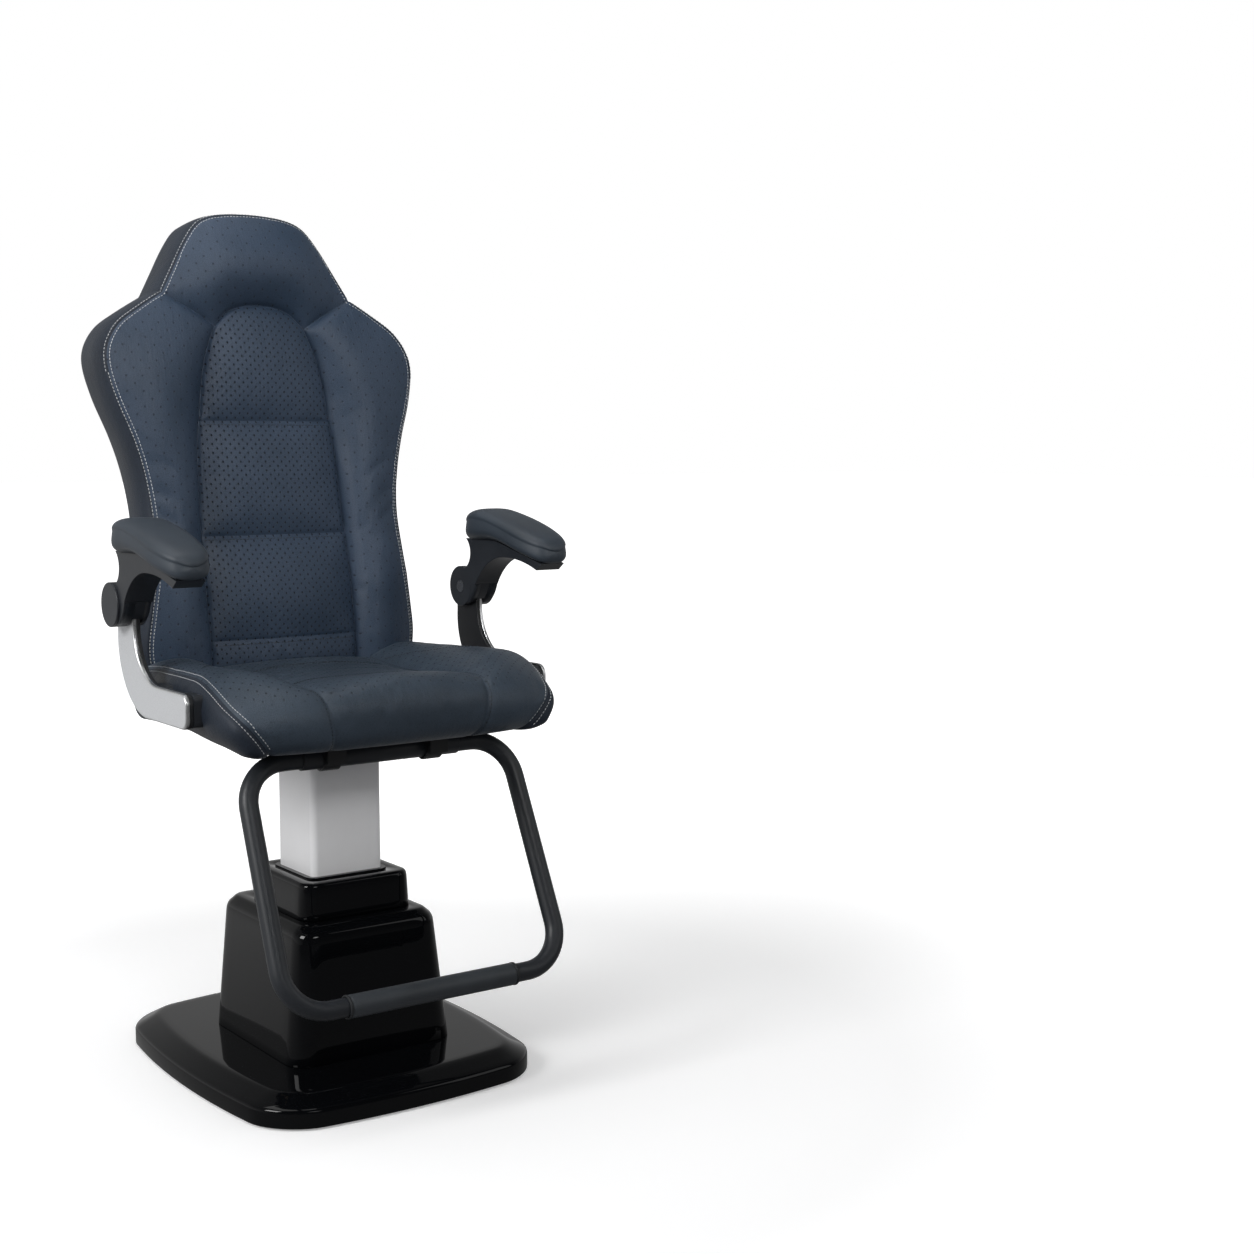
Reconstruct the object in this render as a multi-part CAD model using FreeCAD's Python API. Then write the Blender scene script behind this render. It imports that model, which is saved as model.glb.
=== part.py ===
import FreeCAD, Part
import math
import os

# Ophthalmic examination chair: floor base, lifting column, swivelling seat with a bolstered
# reclined back, flip-up arms and a looped footrest.
# Millimetres, +Z up. The sitter faces -Y, so the sitter's right is -X.
# The origin is on the column's axis, at floor level.

# Fits and gaps
running_gap = 0.06
slide_gap = 0.3
bolt_gap = 0.1
soft_gap = 0.3
overrun = 2.0

# Floor base
foot_height = 3.0
foot_radius = 20.0
base_half_width = 222.0
base_front = 260.0
base_rear = 300.0
base_side_bow = 26.0
base_end_bow = 20.0
base_corner = 70.0
cover_wall = 3.0
cover_band = 27.0
cover_slope_run = 30.0
cover_slope_rise = 16.0
plate_margin = 8.0
plate_thickness = 12.0
foot_margin = 30.0

# Cable gland in the rear of the base
gland_radius = 7.0
gland_flange_radius = 10.0
gland_flange_thickness = 5.0
gland_inner_length = 7.5
gland_outer_length = 10.0
gland_bore_radius = 3.5

# Pedestal housing and the collar that stands on it
housing_height = 206.0
housing_wall = 3.0
housing_corner = 34.0
housing_foot_half_width = 137.0
housing_foot_front = 147.0
housing_foot_rear = 155.0
housing_shoulder_half_width = 118.0
housing_shoulder_front = 137.0
housing_shoulder_rear = 156.0
housing_crown_rise = 13.0
housing_crown_inset = 14.0
collar_height = 56.0
collar_wall = 3.0
collar_corner = 28.0
collar_half_width = 94.0
collar_half_depth = 100.0
collar_draft = 3.0
collar_crown_rise = 5.0
collar_crown_inset = 5.0
collar_lip = 12.0

# Column and the mast inside it
column_width = 120.0
column_wall = 4.0
column_corner = 10.0
column_length = 350.0
column_top = 500.0
wiper_width = 8.0
wiper_height = 6.0
wiper_lift = 1.5
mast_width = 100.0
mast_wall = 5.0
mast_corner = 8.0
mast_height = 343.0
flange_width = 190.0
flange_thickness = 12.0
flange_bolt_spacing = 150.0
flange_bolt_radius = 6.0
bolt_head_ratio_share = 1.7
bolt_head_height_share = 1.2
pad_width = 50.0
pad_height = 55.0
pad_end_margin = 5.0

# Lifting actuator inside the mast
gearbox_width = 76.0
gearbox_depth = 84.0
gearbox_height = 40.0
ram_radius = 20.0
ram_wall = 4.0
ram_length = 263.0
ram_offset = 18.0
ram_bush_length = 18.0
rod_radius = 11.0
rod_length = 300.0
piston_length = 10.0
motor_radius = 18.0
motor_length = 110.0
motor_offset = 22.0
rod_mount_width = 40.0
rod_mount_height = 26.0
rod_pin_radius = 4.0

# Control box behind the mast
control_width = 96.0
control_depth = 42.0
control_height = 110.0

# Swivel
top_plate_width = 170.0
top_plate_thickness = 6.0
hub_flange_radius = 70.0
hub_flange_thickness = 4.0
hub_radius = 25.0
washer_radius = 56.0
washer_thickness = 3.0
mount_plate_width = 240.0
mount_plate_depth = 190.0
mount_plate_thickness = 6.0
retainer_radius = 36.0
retainer_thickness = 3.0
hub_end = 1.5

# Seat frame
cross_bar_width = 30.0
cross_bar_height = 11.0
cross_bar_length = 400.0
cross_bar_spacing = 130.0
seat_bolt_radius = 4.0
seat_bolt_spacing = 176.0
board_half_width = 222.0
board_front = 222.0
board_rear = 128.0
board_corner = 60.0
board_thickness = 12.0
rail_thickness = 18.0
rail_height = 70.0
rail_front = 170.0
rail_rear = 100.0

# Seat cushion
seat_half_width = 270.0
seat_front = 272.0
seat_rear = 134.0
seat_bottom = 528.0
seat_thickness = 112.0
seat_panel_half_width = 132.0
seat_bottom_draw = 44.0
seat_top_draw = 30.0
seat_channel_drop = 28.0
seat_bolster_crown = 8.0
seat_panel_crown = 9.0
# Shares of depth, half width, bottom rise, top drop and channel depth, from the front edge back
seat_station_shares = (
    (0.000, 0.760, 0.42, 0.34, 0.15),
    (0.025, 0.874, 0.22, 0.15, 0.25),
    (0.080, 0.958, 0.07, 0.04, 0.40),
    (0.165, 1.000, 0.00, 0.00, 0.65),
    (0.350, 1.000, 0.00, 0.00, 1.00),
    (0.650, 1.000, 0.00, 0.03, 1.00),
    (0.880, 0.975, 0.00, 0.07, 0.95),
    (0.965, 0.950, 0.04, 0.13, 0.70),
    (1.000, 0.910, 0.14, 0.26, 0.40),
)

# Back
back_bottom = 575.0
back_height = 761.0
back_half_width = 267.0
back_front_foot = 140.0
back_front_lean = 117.0
back_rear_foot = 202.0
back_rear_slope_share = 0.202
back_channel_depth = 25.0
back_insert_half_width = 128.0
gusset_draw = 12.0
gusset_bow = 6.0
wing_crown = 9.0
insert_crown = 12.0
head_crown = 16.0
back_end_draw = 36.0
# Shares of height, half width, front lean, channel depth, insert half width and end rounding
back_station_shares = (
    (0.000, 0.790, 0.00, 0.60, 1.00, 0.45),
    (0.020, 0.825, 0.00, 0.80, 1.00, 0.10),
    (0.085, 0.845, 0.00, 0.90, 1.00, 0.00),
    (0.217, 0.785, -0.02, 1.00, 1.00, 0.00),
    (0.361, 0.800, 0.13, 1.00, 0.97, 0.00),
    (0.480, 0.855, 0.27, 1.00, 0.94, 0.00),
    (0.558, 0.925, 0.39, 1.00, 0.89, 0.00),
    (0.637, 0.985, 0.52, 0.95, 0.81, 0.00),
    (0.687, 1.000, 0.60, 0.85, 0.72, 0.00),
    (0.729, 0.985, 0.66, 0.65, 0.59, 0.00),
    (0.769, 0.920, 0.72, 0.35, 0.40, 0.00),
    (0.802, 0.775, 0.76, 0.12, 0.20, 0.00),
    (0.828, 0.615, 0.79, 0.00, 0.15, 0.00),
    (0.874, 0.525, 0.85, 0.00, 0.15, 0.00),
    (0.937, 0.425, 0.93, 0.00, 0.14, 0.00),
    (0.970, 0.350, 0.98, 0.00, 0.13, 0.08),
    (0.990, 0.255, 1.00, 0.00, 0.11, 0.40),
    (1.000, 0.110, 1.02, 0.00, 0.07, 0.95),
)
back_board_thickness = 12.0
back_board_margin = 34.0
back_board_foot_margin = 30.0
back_board_head_margin = 60.0
rear_panel_thickness = 10.0
rear_panel_margin = 22.0
rear_panel_end_margin = 14.0

# Steel bars that carry the back
back_bar_width = 45.0
back_bar_thickness = 7.0
back_bar_offset = 110.0
back_bar_clearance = 4.0
back_bar_top = 800.0
back_bar_bend = 22.0
back_bolt_spacing = 60.0
back_bolt_margin = 30.0
back_foot_bolt_margin = 20.0

# Footrest
footrest_tube_radius = 14.0
footrest_tube_wall = 2.0
footrest_bend = 64.0
footrest_top_half_width = 216.0
footrest_top_reach = 165.0
footrest_top_drop = 25.3
footrest_low_half_width = 228.0
footrest_low_reach = 314.0
footrest_low_height = 186.0
footrest_joint_gap = 12.0
sleeve_wall = 2.0
sleeve_half_length = 130.0
grip_wall = 2.5
grip_half_length = 135.0
grip_ring_width = 4.0
grip_ring_wall = 3.0
clamp_offset = 85.0
clamp_width = 30.0
clamp_half_depth = 30.0
clamp_floor = 6.0
clamp_split_gap = 2.0
clamp_bolt_radius = 3.0
clamp_bolt_offset = 24.0

# Arm brackets
bracket_face = 300.0
bracket_thickness = 12.0
bracket_leg_bottom = 570.0
bracket_leg_height = 51.0
bracket_leg_reach = 163.0
bracket_leg_corner = 9.0
bracket_upright_width = 62.0
bracket_outer_bend_rise = 120.0
bracket_outer_bend_run = 98.0
bracket_inner_bend_rise = 79.0
bracket_inner_bend_run = 86.0
bend_mid_share = 0.414
pivot_reach = 57.0
pivot_rise = 111.0
spacer_length = 50.0
spacer_height = 46.0
spacer_corner = 8.0
spacer_margin = 1.0
spacer_spacing = 118.0
bracket_bolt_radius = 4.0
bracket_bolt_grip = 8.0
bracket_bolt_head_depth = 8.0
bracket_bolt_head_radius = 8.0

# Arm pivots
pin_radius = 6.0
pin_head_radius = 10.0
pin_head_height = 5.0
pivot_washer_radius = 26.0
pivot_washer_thickness = 1.2
pivot_washer_gap = 0.15
pivot_cap_thickness = 4.0
pivot_cap_dome = 1.5

# Arm shells and pads
knuckle_radius = 33.0
knuckle_slot_gap = 3.5
cheek_outer = 17.5
cheek_inner = 11.0
shell_rear = 38.0
shell_rear_rise = 80.0
shell_level_reach = 50.0
shell_nose = 186.0
shell_nose_rise = 49.0
# Shares of the run from the nose to the pivot and of the rise from the pivot to the shell's top
shell_underside_shares = (
    (0.060, 0.480),
    (0.330, 0.665),
    (0.500, 0.665),
    (0.655, 0.500),
    (0.800, 0.060),
)
shell_rear_waist_share = 0.74
shell_rear_waist_draw = 13.0
shell_neck_share = 0.45
pad_half_width = 42.0
pad_front = 197.0
pad_rear = 36.0
pad_crest_rise = 132.0
pad_floor_drop = 14.0
# Shares of length, half width, top drop and bottom rise, from the front end back
pad_station_shares = (
    (0.000, 0.45, 0.78, 0.50),
    (0.020, 0.68, 0.68, 0.24),
    (0.070, 0.88, 0.585, 0.04),
    (0.160, 1.00, 0.48, 0.00),
    (0.330, 1.00, 0.29, 0.00),
    (0.560, 1.00, 0.10, 0.00),
    (0.780, 1.00, 0.01, 0.00),
    (0.900, 0.92, 0.03, 0.00),
    (0.970, 0.70, 0.14, 0.10),
    (1.000, 0.42, 0.34, 0.30),
)
pad_side_draw = 9.0
pad_crown = 6.0

# Heights that follow from the sizes above
plate_bottom = foot_height
plate_top = plate_bottom + plate_thickness
cover_band_top = foot_height + cover_band
cover_top = cover_band_top + cover_slope_rise
housing_top = cover_top + housing_height
collar_top = housing_top + collar_height
flange_top = plate_top + flange_thickness
mast_top = flange_top + mast_height
column_bottom = column_top - column_length
top_plate_top = column_top + top_plate_thickness
hub_flange_top = top_plate_top + hub_flange_thickness
washer_top = hub_flange_top + washer_thickness
mount_plate_bottom = washer_top + slide_gap
mount_plate_top = mount_plate_bottom + mount_plate_thickness
retainer_bottom = mount_plate_top + slide_gap
hub_top = retainer_bottom + retainer_thickness + hub_end
board_bottom = mount_plate_top + cross_bar_height
board_top = board_bottom + board_thickness
footrest_top_height = board_bottom - footrest_top_drop
back_bar_start = (cross_bar_spacing + cross_bar_width) / 2 + back_bar_clearance
rail_top = board_top + rail_height
bracket_leg_top = bracket_leg_bottom + bracket_leg_height
bracket_leg_middle = (bracket_leg_bottom + bracket_leg_top) / 2
pivot_height = bracket_leg_top + pivot_rise
shell_rear_height = pivot_height + shell_rear_rise
shell_nose_height = pivot_height + shell_nose_rise
pad_crest_height = pivot_height + pad_crest_rise
bracket_inner_face = bracket_face - bracket_thickness
spacer_front_reach = bracket_leg_reach - spacer_length / 2
pivot_slot_half = bracket_thickness / 2 + pivot_washer_thickness + 2 * pivot_washer_gap
pivot_middle = bracket_face - bracket_thickness / 2
shell_outer = pivot_middle + pivot_slot_half + cheek_outer
shell_inner = pivot_middle - pivot_slot_half - cheek_inner
arm_middle = (shell_outer + shell_inner) / 2

X_AXIS = FreeCAD.Vector(1, 0, 0)
Y_AXIS = FreeCAD.Vector(0, 1, 0)
Z_AXIS = FreeCAD.Vector(0, 0, 1)
ORIGIN = FreeCAD.Vector(0, 0, 0)
SIDES = (("right", -1), ("left", 1))


def point(x, y, z):
    return FreeCAD.Vector(x, y, z)


def box(x0, x1, y0, y1, z0, z1):
    """Block between two corners."""
    return Part.makeBox(x1 - x0, y1 - y0, z1 - z0, point(x0, y0, z0))


def rod(radius, start, axis, length):
    """Round bar from a start point along an axis."""
    return Part.makeCylinder(radius, length, start, axis)


def ring(outer, inner, start, axis, length):
    """Round tube from a start point along an axis."""
    bore = rod(inner, start - axis * overrun, axis, length + 2 * overrun)
    return rod(outer, start, axis, length).cut(bore)


def mirrored(place):
    """The same place on the other side of the chair's middle plane."""
    return point(-place.x, place.y, place.z)


def arc(start, middle, end):
    return Part.Arc(start, middle, end).toShape()


def line(start, end):
    return Part.makeLine(start, end)


def corner_arc(start, corner, end, share):
    """Arc from start to end that leans towards the corner point by a share of the way."""
    chord_middle = (start + end) * (1 / 2)
    return arc(start, chord_middle + (corner - chord_middle) * share, end)


def bowed_arc(start, end, bow):
    """Arc from start to end whose middle is moved by the vector bow."""
    return arc(start, (start + end) * (1 / 2) + bow, end)


def prism(edges, sweep):
    """Solid swept from a flat closed outline."""
    return Part.Face(Part.Wire(edges)).extrude(sweep)


def plan_loop(half_width, front, rear, corner, z):
    """Rounded rectangle in plan. front and rear are distances from the axis."""
    x = half_width - corner
    y0 = -front + corner
    y1 = rear - corner
    lean = corner * math.sqrt(1 / 2)
    edges = [
        line(point(-x, -front, z), point(x, -front, z)),
        arc(point(x, -front, z), point(x + lean, y0 - lean, z), point(half_width, y0, z)),
        line(point(half_width, y0, z), point(half_width, y1, z)),
        arc(point(half_width, y1, z), point(x + lean, y1 + lean, z), point(x, rear, z)),
        line(point(x, rear, z), point(-x, rear, z)),
        arc(point(-x, rear, z), point(-x - lean, y1 + lean, z), point(-half_width, y1, z)),
        line(point(-half_width, y1, z), point(-half_width, y0, z)),
        arc(point(-half_width, y0, z), point(-x - lean, y0 - lean, z), point(-x, -front, z)),
    ]
    return Part.Wire(edges)


def plan_block(half_width, front, rear, corner, z0, z1):
    """Upright block with rounded corners."""
    face = Part.Face(plan_loop(half_width, front, rear, corner, z0))
    return face.extrude(Z_AXIS * (z1 - z0))


def square_tube(width, wall, corner, z0, z1):
    """Upright square tube on the column's axis."""
    half = width / 2
    outer = plan_block(half, half, half, corner, z0, z1)
    hole = plan_block(
        half - wall, half - wall, half - wall, corner - wall, z0 - overrun, z1 + overrun
    )
    return outer.cut(hole)


def hex_bolt(radius, start, axis, grip):
    """Bolt whose hexagon head stands on the start point, with its shank along the axis."""
    head_radius = radius * bolt_head_ratio_share
    head_height = radius * bolt_head_height_share
    side = X_AXIS if abs(axis.x) < abs(axis.z) + abs(axis.y) else Y_AXIS
    rim = [side * head_radius]
    turn = FreeCAD.Rotation(axis, 360 / 6)
    for _ in range(6):
        rim.append(turn.multVec(rim[-1]))
    rim[-1] = rim[0]
    face = Part.Face(Part.makePolygon([start + spoke for spoke in rim]))
    head = face.extrude(axis * -head_height)
    return head.fuse(rod(radius, start, axis, grip))


def group(shapes):
    return Part.makeCompound(shapes)


def bow_radius(half_chord, bow):
    """Radius of an arc from half its chord and the rise of its middle."""
    return (half_chord**2 + bow**2) / (2 * bow)


def crossing(centre_a, radius_a, centre_b, radius_b, near):
    """Point where two circles in plan cross, nearest to the point near."""
    gap = centre_b - centre_a
    along = (radius_a**2 - radius_b**2 + gap.Length**2) / (2 * gap.Length)
    across = math.sqrt(radius_a**2 - along**2)
    unit = point(gap.x / gap.Length, gap.y / gap.Length, 0)
    foot = centre_a + unit * along
    sideways = point(-unit.y, unit.x, 0) * across
    return min((foot + sideways, foot - sideways), key=lambda found: (found - near).Length)


def outwards(centre, through, distance):
    """Point at a distance from a centre, on the way to another point."""
    way = through - centre
    return centre + way * (distance / way.Length)


def base_outline(inset, z):
    """Bowed outline of the floor base with tangent corners, moved inwards by inset."""
    half_depth = (base_front + base_rear) / 2
    middle = (base_rear - base_front) / 2
    side_radius = bow_radius(half_depth, base_side_bow)
    end_radius = bow_radius(base_half_width, base_end_bow)
    side_centre = base_half_width + base_side_bow - side_radius
    bows = [
        (point(side_centre, middle, z), side_radius, X_AXIS),
        (point(0, base_rear + base_end_bow - end_radius, z), end_radius, Y_AXIS),
        (point(-side_centre, middle, z), side_radius, X_AXIS * -1),
        (point(0, -base_front - base_end_bow + end_radius, z), end_radius, Y_AXIS * -1),
    ]
    tips = [
        point(base_half_width, base_rear, z),
        point(-base_half_width, base_rear, z),
        point(-base_half_width, -base_front, z),
        point(base_half_width, -base_front, z),
    ]
    corners = []
    for index, tip in enumerate(tips):
        centre_a, radius_a, _ = bows[index]
        centre_b, radius_b, _ = bows[(index + 1) % 4]
        corners.append(
            crossing(centre_a, radius_a - base_corner, centre_b, radius_b - base_corner, tip)
        )
    edges = []
    for index, (centre, radius, out) in enumerate(bows):
        reach = radius - inset
        start = outwards(centre, corners[index - 1], reach)
        end = outwards(centre, corners[index], reach)
        edges.append(arc(start, centre + out * reach, end))
        next_centre, next_radius, _ = bows[(index + 1) % 4]
        next_start = outwards(next_centre, corners[index], next_radius - inset)
        turn_middle = outwards(corners[index], (end + next_start) * (1 / 2), base_corner - inset)
        edges.append(arc(end, turn_middle, next_start))
    return Part.Wire(edges)


def base_block(inset, z0, z1):
    return Part.Face(base_outline(inset, z0)).extrude(Z_AXIS * (z1 - z0))


def base_hump(inset, drop):
    """Band and sloping rim of the base cover, moved inwards by inset and down by drop."""
    band_top = cover_band_top - drop
    band = base_block(inset, foot_height, band_top)
    low = base_outline(inset, band_top)
    high = base_outline(inset + cover_slope_run, cover_top - drop)
    return band.fuse(Part.makeLoft([low, high], True, True)).removeSplitter()


def make_base_cover():
    cover = base_hump(0, 0).cut(base_hump(cover_wall, cover_wall))
    opening = plan_block(
        housing_shoulder_half_width - housing_wall,
        housing_shoulder_front - housing_wall,
        housing_shoulder_rear - housing_wall,
        housing_corner - housing_wall,
        cover_band_top,
        cover_top + overrun,
    )
    gland_hole = rod(
        gland_radius + bolt_gap,
        point(0, base_rear, (foot_height + cover_band_top) / 2),
        Y_AXIS,
        base_end_bow + overrun,
    )
    return cover.cut(opening).cut(gland_hole)


def make_base_plate():
    plate = base_block(cover_wall + plate_margin, plate_bottom, plate_top)
    for x, y in flange_bolt_places():
        hole = rod(flange_bolt_radius + bolt_gap, point(x, y, 0), Z_AXIS, plate_top + overrun)
        plate = plate.cut(hole)
    return plate


def make_base_feet():
    """One pad under the column and one near each corner and side of the plate."""
    x = base_half_width - foot_margin
    places = [(0, 0)]
    for side in (-1, 1):
        places.append((side * x, -base_front + base_corner))
        places.append((side * x, (base_rear - base_front) / 2))
        places.append((side * x, base_rear - base_corner))
    return group([rod(foot_radius, point(px, py, 0), Z_AXIS, foot_height) for px, py in places])


def make_cable_gland():
    z = (foot_height + cover_band_top) / 2
    wall_outer = base_rear + base_end_bow
    wall_inner = wall_outer - cover_wall
    length = gland_inner_length + cover_wall + gland_outer_length
    body = rod(gland_radius, point(0, wall_inner - gland_inner_length, z), Y_AXIS, length)
    flange = rod(gland_flange_radius, point(0, wall_outer, z), Y_AXIS, gland_flange_thickness)
    nut = rod(
        gland_flange_radius,
        point(0, wall_inner - gland_flange_thickness, z),
        Y_AXIS,
        gland_flange_thickness,
    )
    bore = rod(
        gland_bore_radius,
        point(0, wall_inner - gland_inner_length - overrun, z),
        Y_AXIS,
        length + 2 * overrun,
    )
    return body.fuse([flange, nut]).cut(bore)


def housing_solid(inset, drop):
    """Tapered pedestal with a sloping crown, moved inwards by inset and down by drop."""
    shoulder_z = housing_top - housing_crown_rise - drop
    corner = housing_corner - inset
    foot = plan_loop(
        housing_foot_half_width - inset,
        housing_foot_front - inset,
        housing_foot_rear - inset,
        corner,
        cover_top,
    )
    shoulder = plan_loop(
        housing_shoulder_half_width - inset,
        housing_shoulder_front - inset,
        housing_shoulder_rear - inset,
        corner,
        shoulder_z,
    )
    crown = plan_loop(
        housing_shoulder_half_width - inset - housing_crown_inset,
        housing_shoulder_front - inset - housing_crown_inset,
        housing_shoulder_rear - inset - housing_crown_inset,
        corner - housing_crown_inset,
        housing_top - drop,
    )
    return Part.makeLoft([foot, shoulder, crown], True, True)


def make_pedestal_housing():
    hollow = housing_solid(housing_wall, housing_wall)
    opening = plan_block(
        collar_half_width - collar_lip,
        collar_half_depth - collar_lip,
        collar_half_depth - collar_lip,
        collar_corner - collar_lip,
        housing_top - housing_crown_rise,
        housing_top + overrun,
    )
    return housing_solid(0, 0).cut(hollow).cut(opening)


def collar_solid(inset, drop):
    """Collar with a slight draft and a sloping crown."""
    loops = []
    for draw, z in (
        (0, housing_top),
        (collar_draft, collar_top - collar_crown_rise - drop),
        (collar_draft + collar_crown_inset, collar_top - drop),
    ):
        shrink = inset + draw
        half_depth = collar_half_depth - shrink
        loops.append(
            plan_loop(collar_half_width - shrink, half_depth, half_depth, collar_corner - shrink, z)
        )
    return Part.makeLoft(loops, True, True)


def make_pedestal_collar():
    half = column_width / 2 + wiper_width
    corner = column_corner + wiper_width
    opening = plan_block(half, half, half, corner, collar_top - collar_height / 2, collar_top + overrun)
    return collar_solid(0, 0).cut(collar_solid(collar_wall, collar_wall)).cut(opening)


def make_column_wiper():
    half = column_width / 2
    z0 = collar_top + wiper_lift - wiper_height
    outer_half = half + wiper_width
    outer = plan_block(
        outer_half, outer_half, outer_half, column_corner + wiper_width, z0, collar_top + wiper_lift
    )
    inner_half = half + slide_gap
    inner = plan_block(
        inner_half,
        inner_half,
        inner_half,
        column_corner + slide_gap,
        z0 - overrun,
        collar_top + wiper_lift + overrun,
    )
    return outer.cut(inner)


def flange_bolt_places():
    half = flange_bolt_spacing / 2
    return [(x, y) for x in (-half, half) for y in (-half, half)]


def make_mast():
    mast = square_tube(mast_width, mast_wall, mast_corner, flange_top, mast_top)
    half = flange_width / 2
    flange = plan_block(half, half, half, mast_corner, plate_top, flange_top)
    for x, y in flange_bolt_places():
        hole = rod(flange_bolt_radius + bolt_gap, point(x, y, plate_bottom), Z_AXIS, flange_top)
        flange = flange.cut(hole)
    return mast.fuse(flange)


def make_mast_bolts():
    grip = flange_thickness + plate_thickness - bolt_gap
    down = Z_AXIS * -1
    places = [point(x, y, flange_top) for x, y in flange_bolt_places()]
    return group([hex_bolt(flange_bolt_radius, place, down, grip) for place in places])


def slide_pads(inner_face, outer_face, z0):
    """Four flat pads in the gap between the mast and the column, one on each side."""
    half = pad_width / 2
    pads = []
    for turn in range(4):
        pad = box(inner_face, outer_face, -half, half, z0, z0 + pad_height)
        pad.rotate(ORIGIN, Z_AXIS, turn * 90)
        pads.append(pad)
    return group(pads)


def make_mast_slide_pads():
    outer_face = column_width / 2 - column_wall - slide_gap
    return slide_pads(mast_width / 2, outer_face, mast_top - pad_end_margin - pad_height)


def make_column_slide_pads():
    inner_face = mast_width / 2 + slide_gap
    return slide_pads(inner_face, column_width / 2 - column_wall, column_bottom + pad_end_margin)


def make_actuator_gearbox():
    half_width = gearbox_width / 2
    half_depth = gearbox_depth / 2
    return plan_block(
        half_width, half_depth, half_depth, mast_corner, flange_top, flange_top + gearbox_height
    )


def make_actuator_motor():
    start = point(0, -motor_offset, flange_top + gearbox_height)
    return rod(motor_radius, start, Z_AXIS, motor_length)


def make_actuator_tube():
    start = point(0, ram_offset, flange_top + gearbox_height)
    return ring(ram_radius, ram_radius - ram_wall, start, Z_AXIS, ram_length)


def make_actuator_bush():
    top = flange_top + gearbox_height + ram_length
    start = point(0, ram_offset, top - ram_bush_length)
    return ring(ram_radius - ram_wall, rod_radius + running_gap, start, Z_AXIS, ram_bush_length)


def make_actuator_rod():
    """Hollow-section ram rod with its piston, hung from the column's top plate."""
    start = point(0, ram_offset, column_top - rod_length)
    ram = rod(rod_radius, start, Z_AXIS, rod_length)
    piston = rod(ram_radius - ram_wall - slide_gap, start, Z_AXIS, piston_length)
    hole = rod_pin_hole(rod_pin_radius + bolt_gap)
    return ram.fuse(piston).cut(hole)


def rod_pin_hole(radius):
    half = rod_mount_width / 2
    start = point(-half, ram_offset, column_top - rod_mount_height / 2)
    return rod(radius, start, X_AXIS, rod_mount_width)


def make_rod_mount():
    half = rod_mount_width / 2
    z0 = column_top - rod_mount_height
    block = box(-half, half, ram_offset - half, ram_offset + half, z0, column_top)
    start = point(0, ram_offset, z0 - overrun)
    bore = rod(rod_radius + bolt_gap, start, Z_AXIS, rod_mount_height + overrun)
    return block.cut(bore).cut(rod_pin_hole(rod_pin_radius + bolt_gap))


def make_rod_pin():
    return rod_pin_hole(rod_pin_radius)


def make_control_box():
    """Box behind the mast's flange. Its front lies behind the axis, so its reach is negative."""
    near = flange_width / 2 + slide_gap
    half = control_width / 2
    return plan_block(
        half, -near, near + control_depth, mast_corner, plate_top, plate_top + control_height
    )


def make_column():
    return square_tube(column_width, column_wall, column_corner, column_bottom, column_top)


def make_column_top_plate():
    half = top_plate_width / 2
    return plan_block(half, half, half, column_corner, column_top, top_plate_top)


def make_swivel_hub():
    flange = rod(hub_flange_radius, point(0, 0, top_plate_top), Z_AXIS, hub_flange_thickness)
    spigot = rod(hub_radius, point(0, 0, top_plate_top), Z_AXIS, hub_top - top_plate_top)
    return flange.fuse(spigot)


def make_thrust_washer():
    start = point(0, 0, hub_flange_top)
    return ring(washer_radius, hub_radius + bolt_gap, start, Z_AXIS, washer_thickness)


def make_hub_retainer():
    start = point(0, 0, retainer_bottom)
    return ring(retainer_radius, hub_radius + bolt_gap, start, Z_AXIS, retainer_thickness)


def seat_bolt_places():
    x = seat_bolt_spacing / 2
    y = cross_bar_spacing / 2
    return [(px, py) for px in (-x, x) for py in (-y, y)]


def make_seat_mount_plate():
    half = mount_plate_width / 2
    half_depth = mount_plate_depth / 2
    plate = plan_block(half, half_depth, half_depth, column_corner, mount_plate_bottom, mount_plate_top)
    plate = plate.cut(
        rod(hub_radius + running_gap, point(0, 0, hub_flange_top), Z_AXIS, hub_top - hub_flange_top)
    )
    for x, y in seat_bolt_places():
        plate = plate.cut(rod(seat_bolt_radius + bolt_gap, point(x, y, hub_flange_top), Z_AXIS, board_top))
    return plate


def make_cross_bars():
    bars = []
    half = cross_bar_length / 2
    for y in (-cross_bar_spacing / 2, cross_bar_spacing / 2):
        bar = box(
            -half, half, y - cross_bar_width / 2, y + cross_bar_width / 2, mount_plate_top, board_bottom
        )
        for x, bolt_y in seat_bolt_places():
            if bolt_y == y:
                bar = bar.cut(
                    rod(seat_bolt_radius + bolt_gap, point(x, y, mount_plate_bottom), Z_AXIS, board_top)
                )
        bars.append(bar)
    return group(bars)


def make_seat_bolts():
    grip = board_top - mount_plate_bottom - bolt_gap
    bolts = []
    for x, y in seat_bolt_places():
        bolts.append(hex_bolt(seat_bolt_radius, point(x, y, mount_plate_bottom), Z_AXIS, grip))
    return group(bolts)


def make_seat_board():
    board = plan_block(board_half_width, board_front, board_rear, board_corner, board_bottom, board_top)
    holes = [(seat_bolt_radius, place) for place in seat_bolt_places()]
    holes += [(clamp_bolt_radius, place) for place in clamp_bolt_places()]
    for radius, (x, y) in holes:
        board = board.cut(rod(radius + bolt_gap, point(x, y, mount_plate_top), Z_AXIS, board_top))
    for x in (-back_bar_offset, back_bar_offset):
        board = board.cut(bar_foot_hole(x))
    return board


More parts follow.
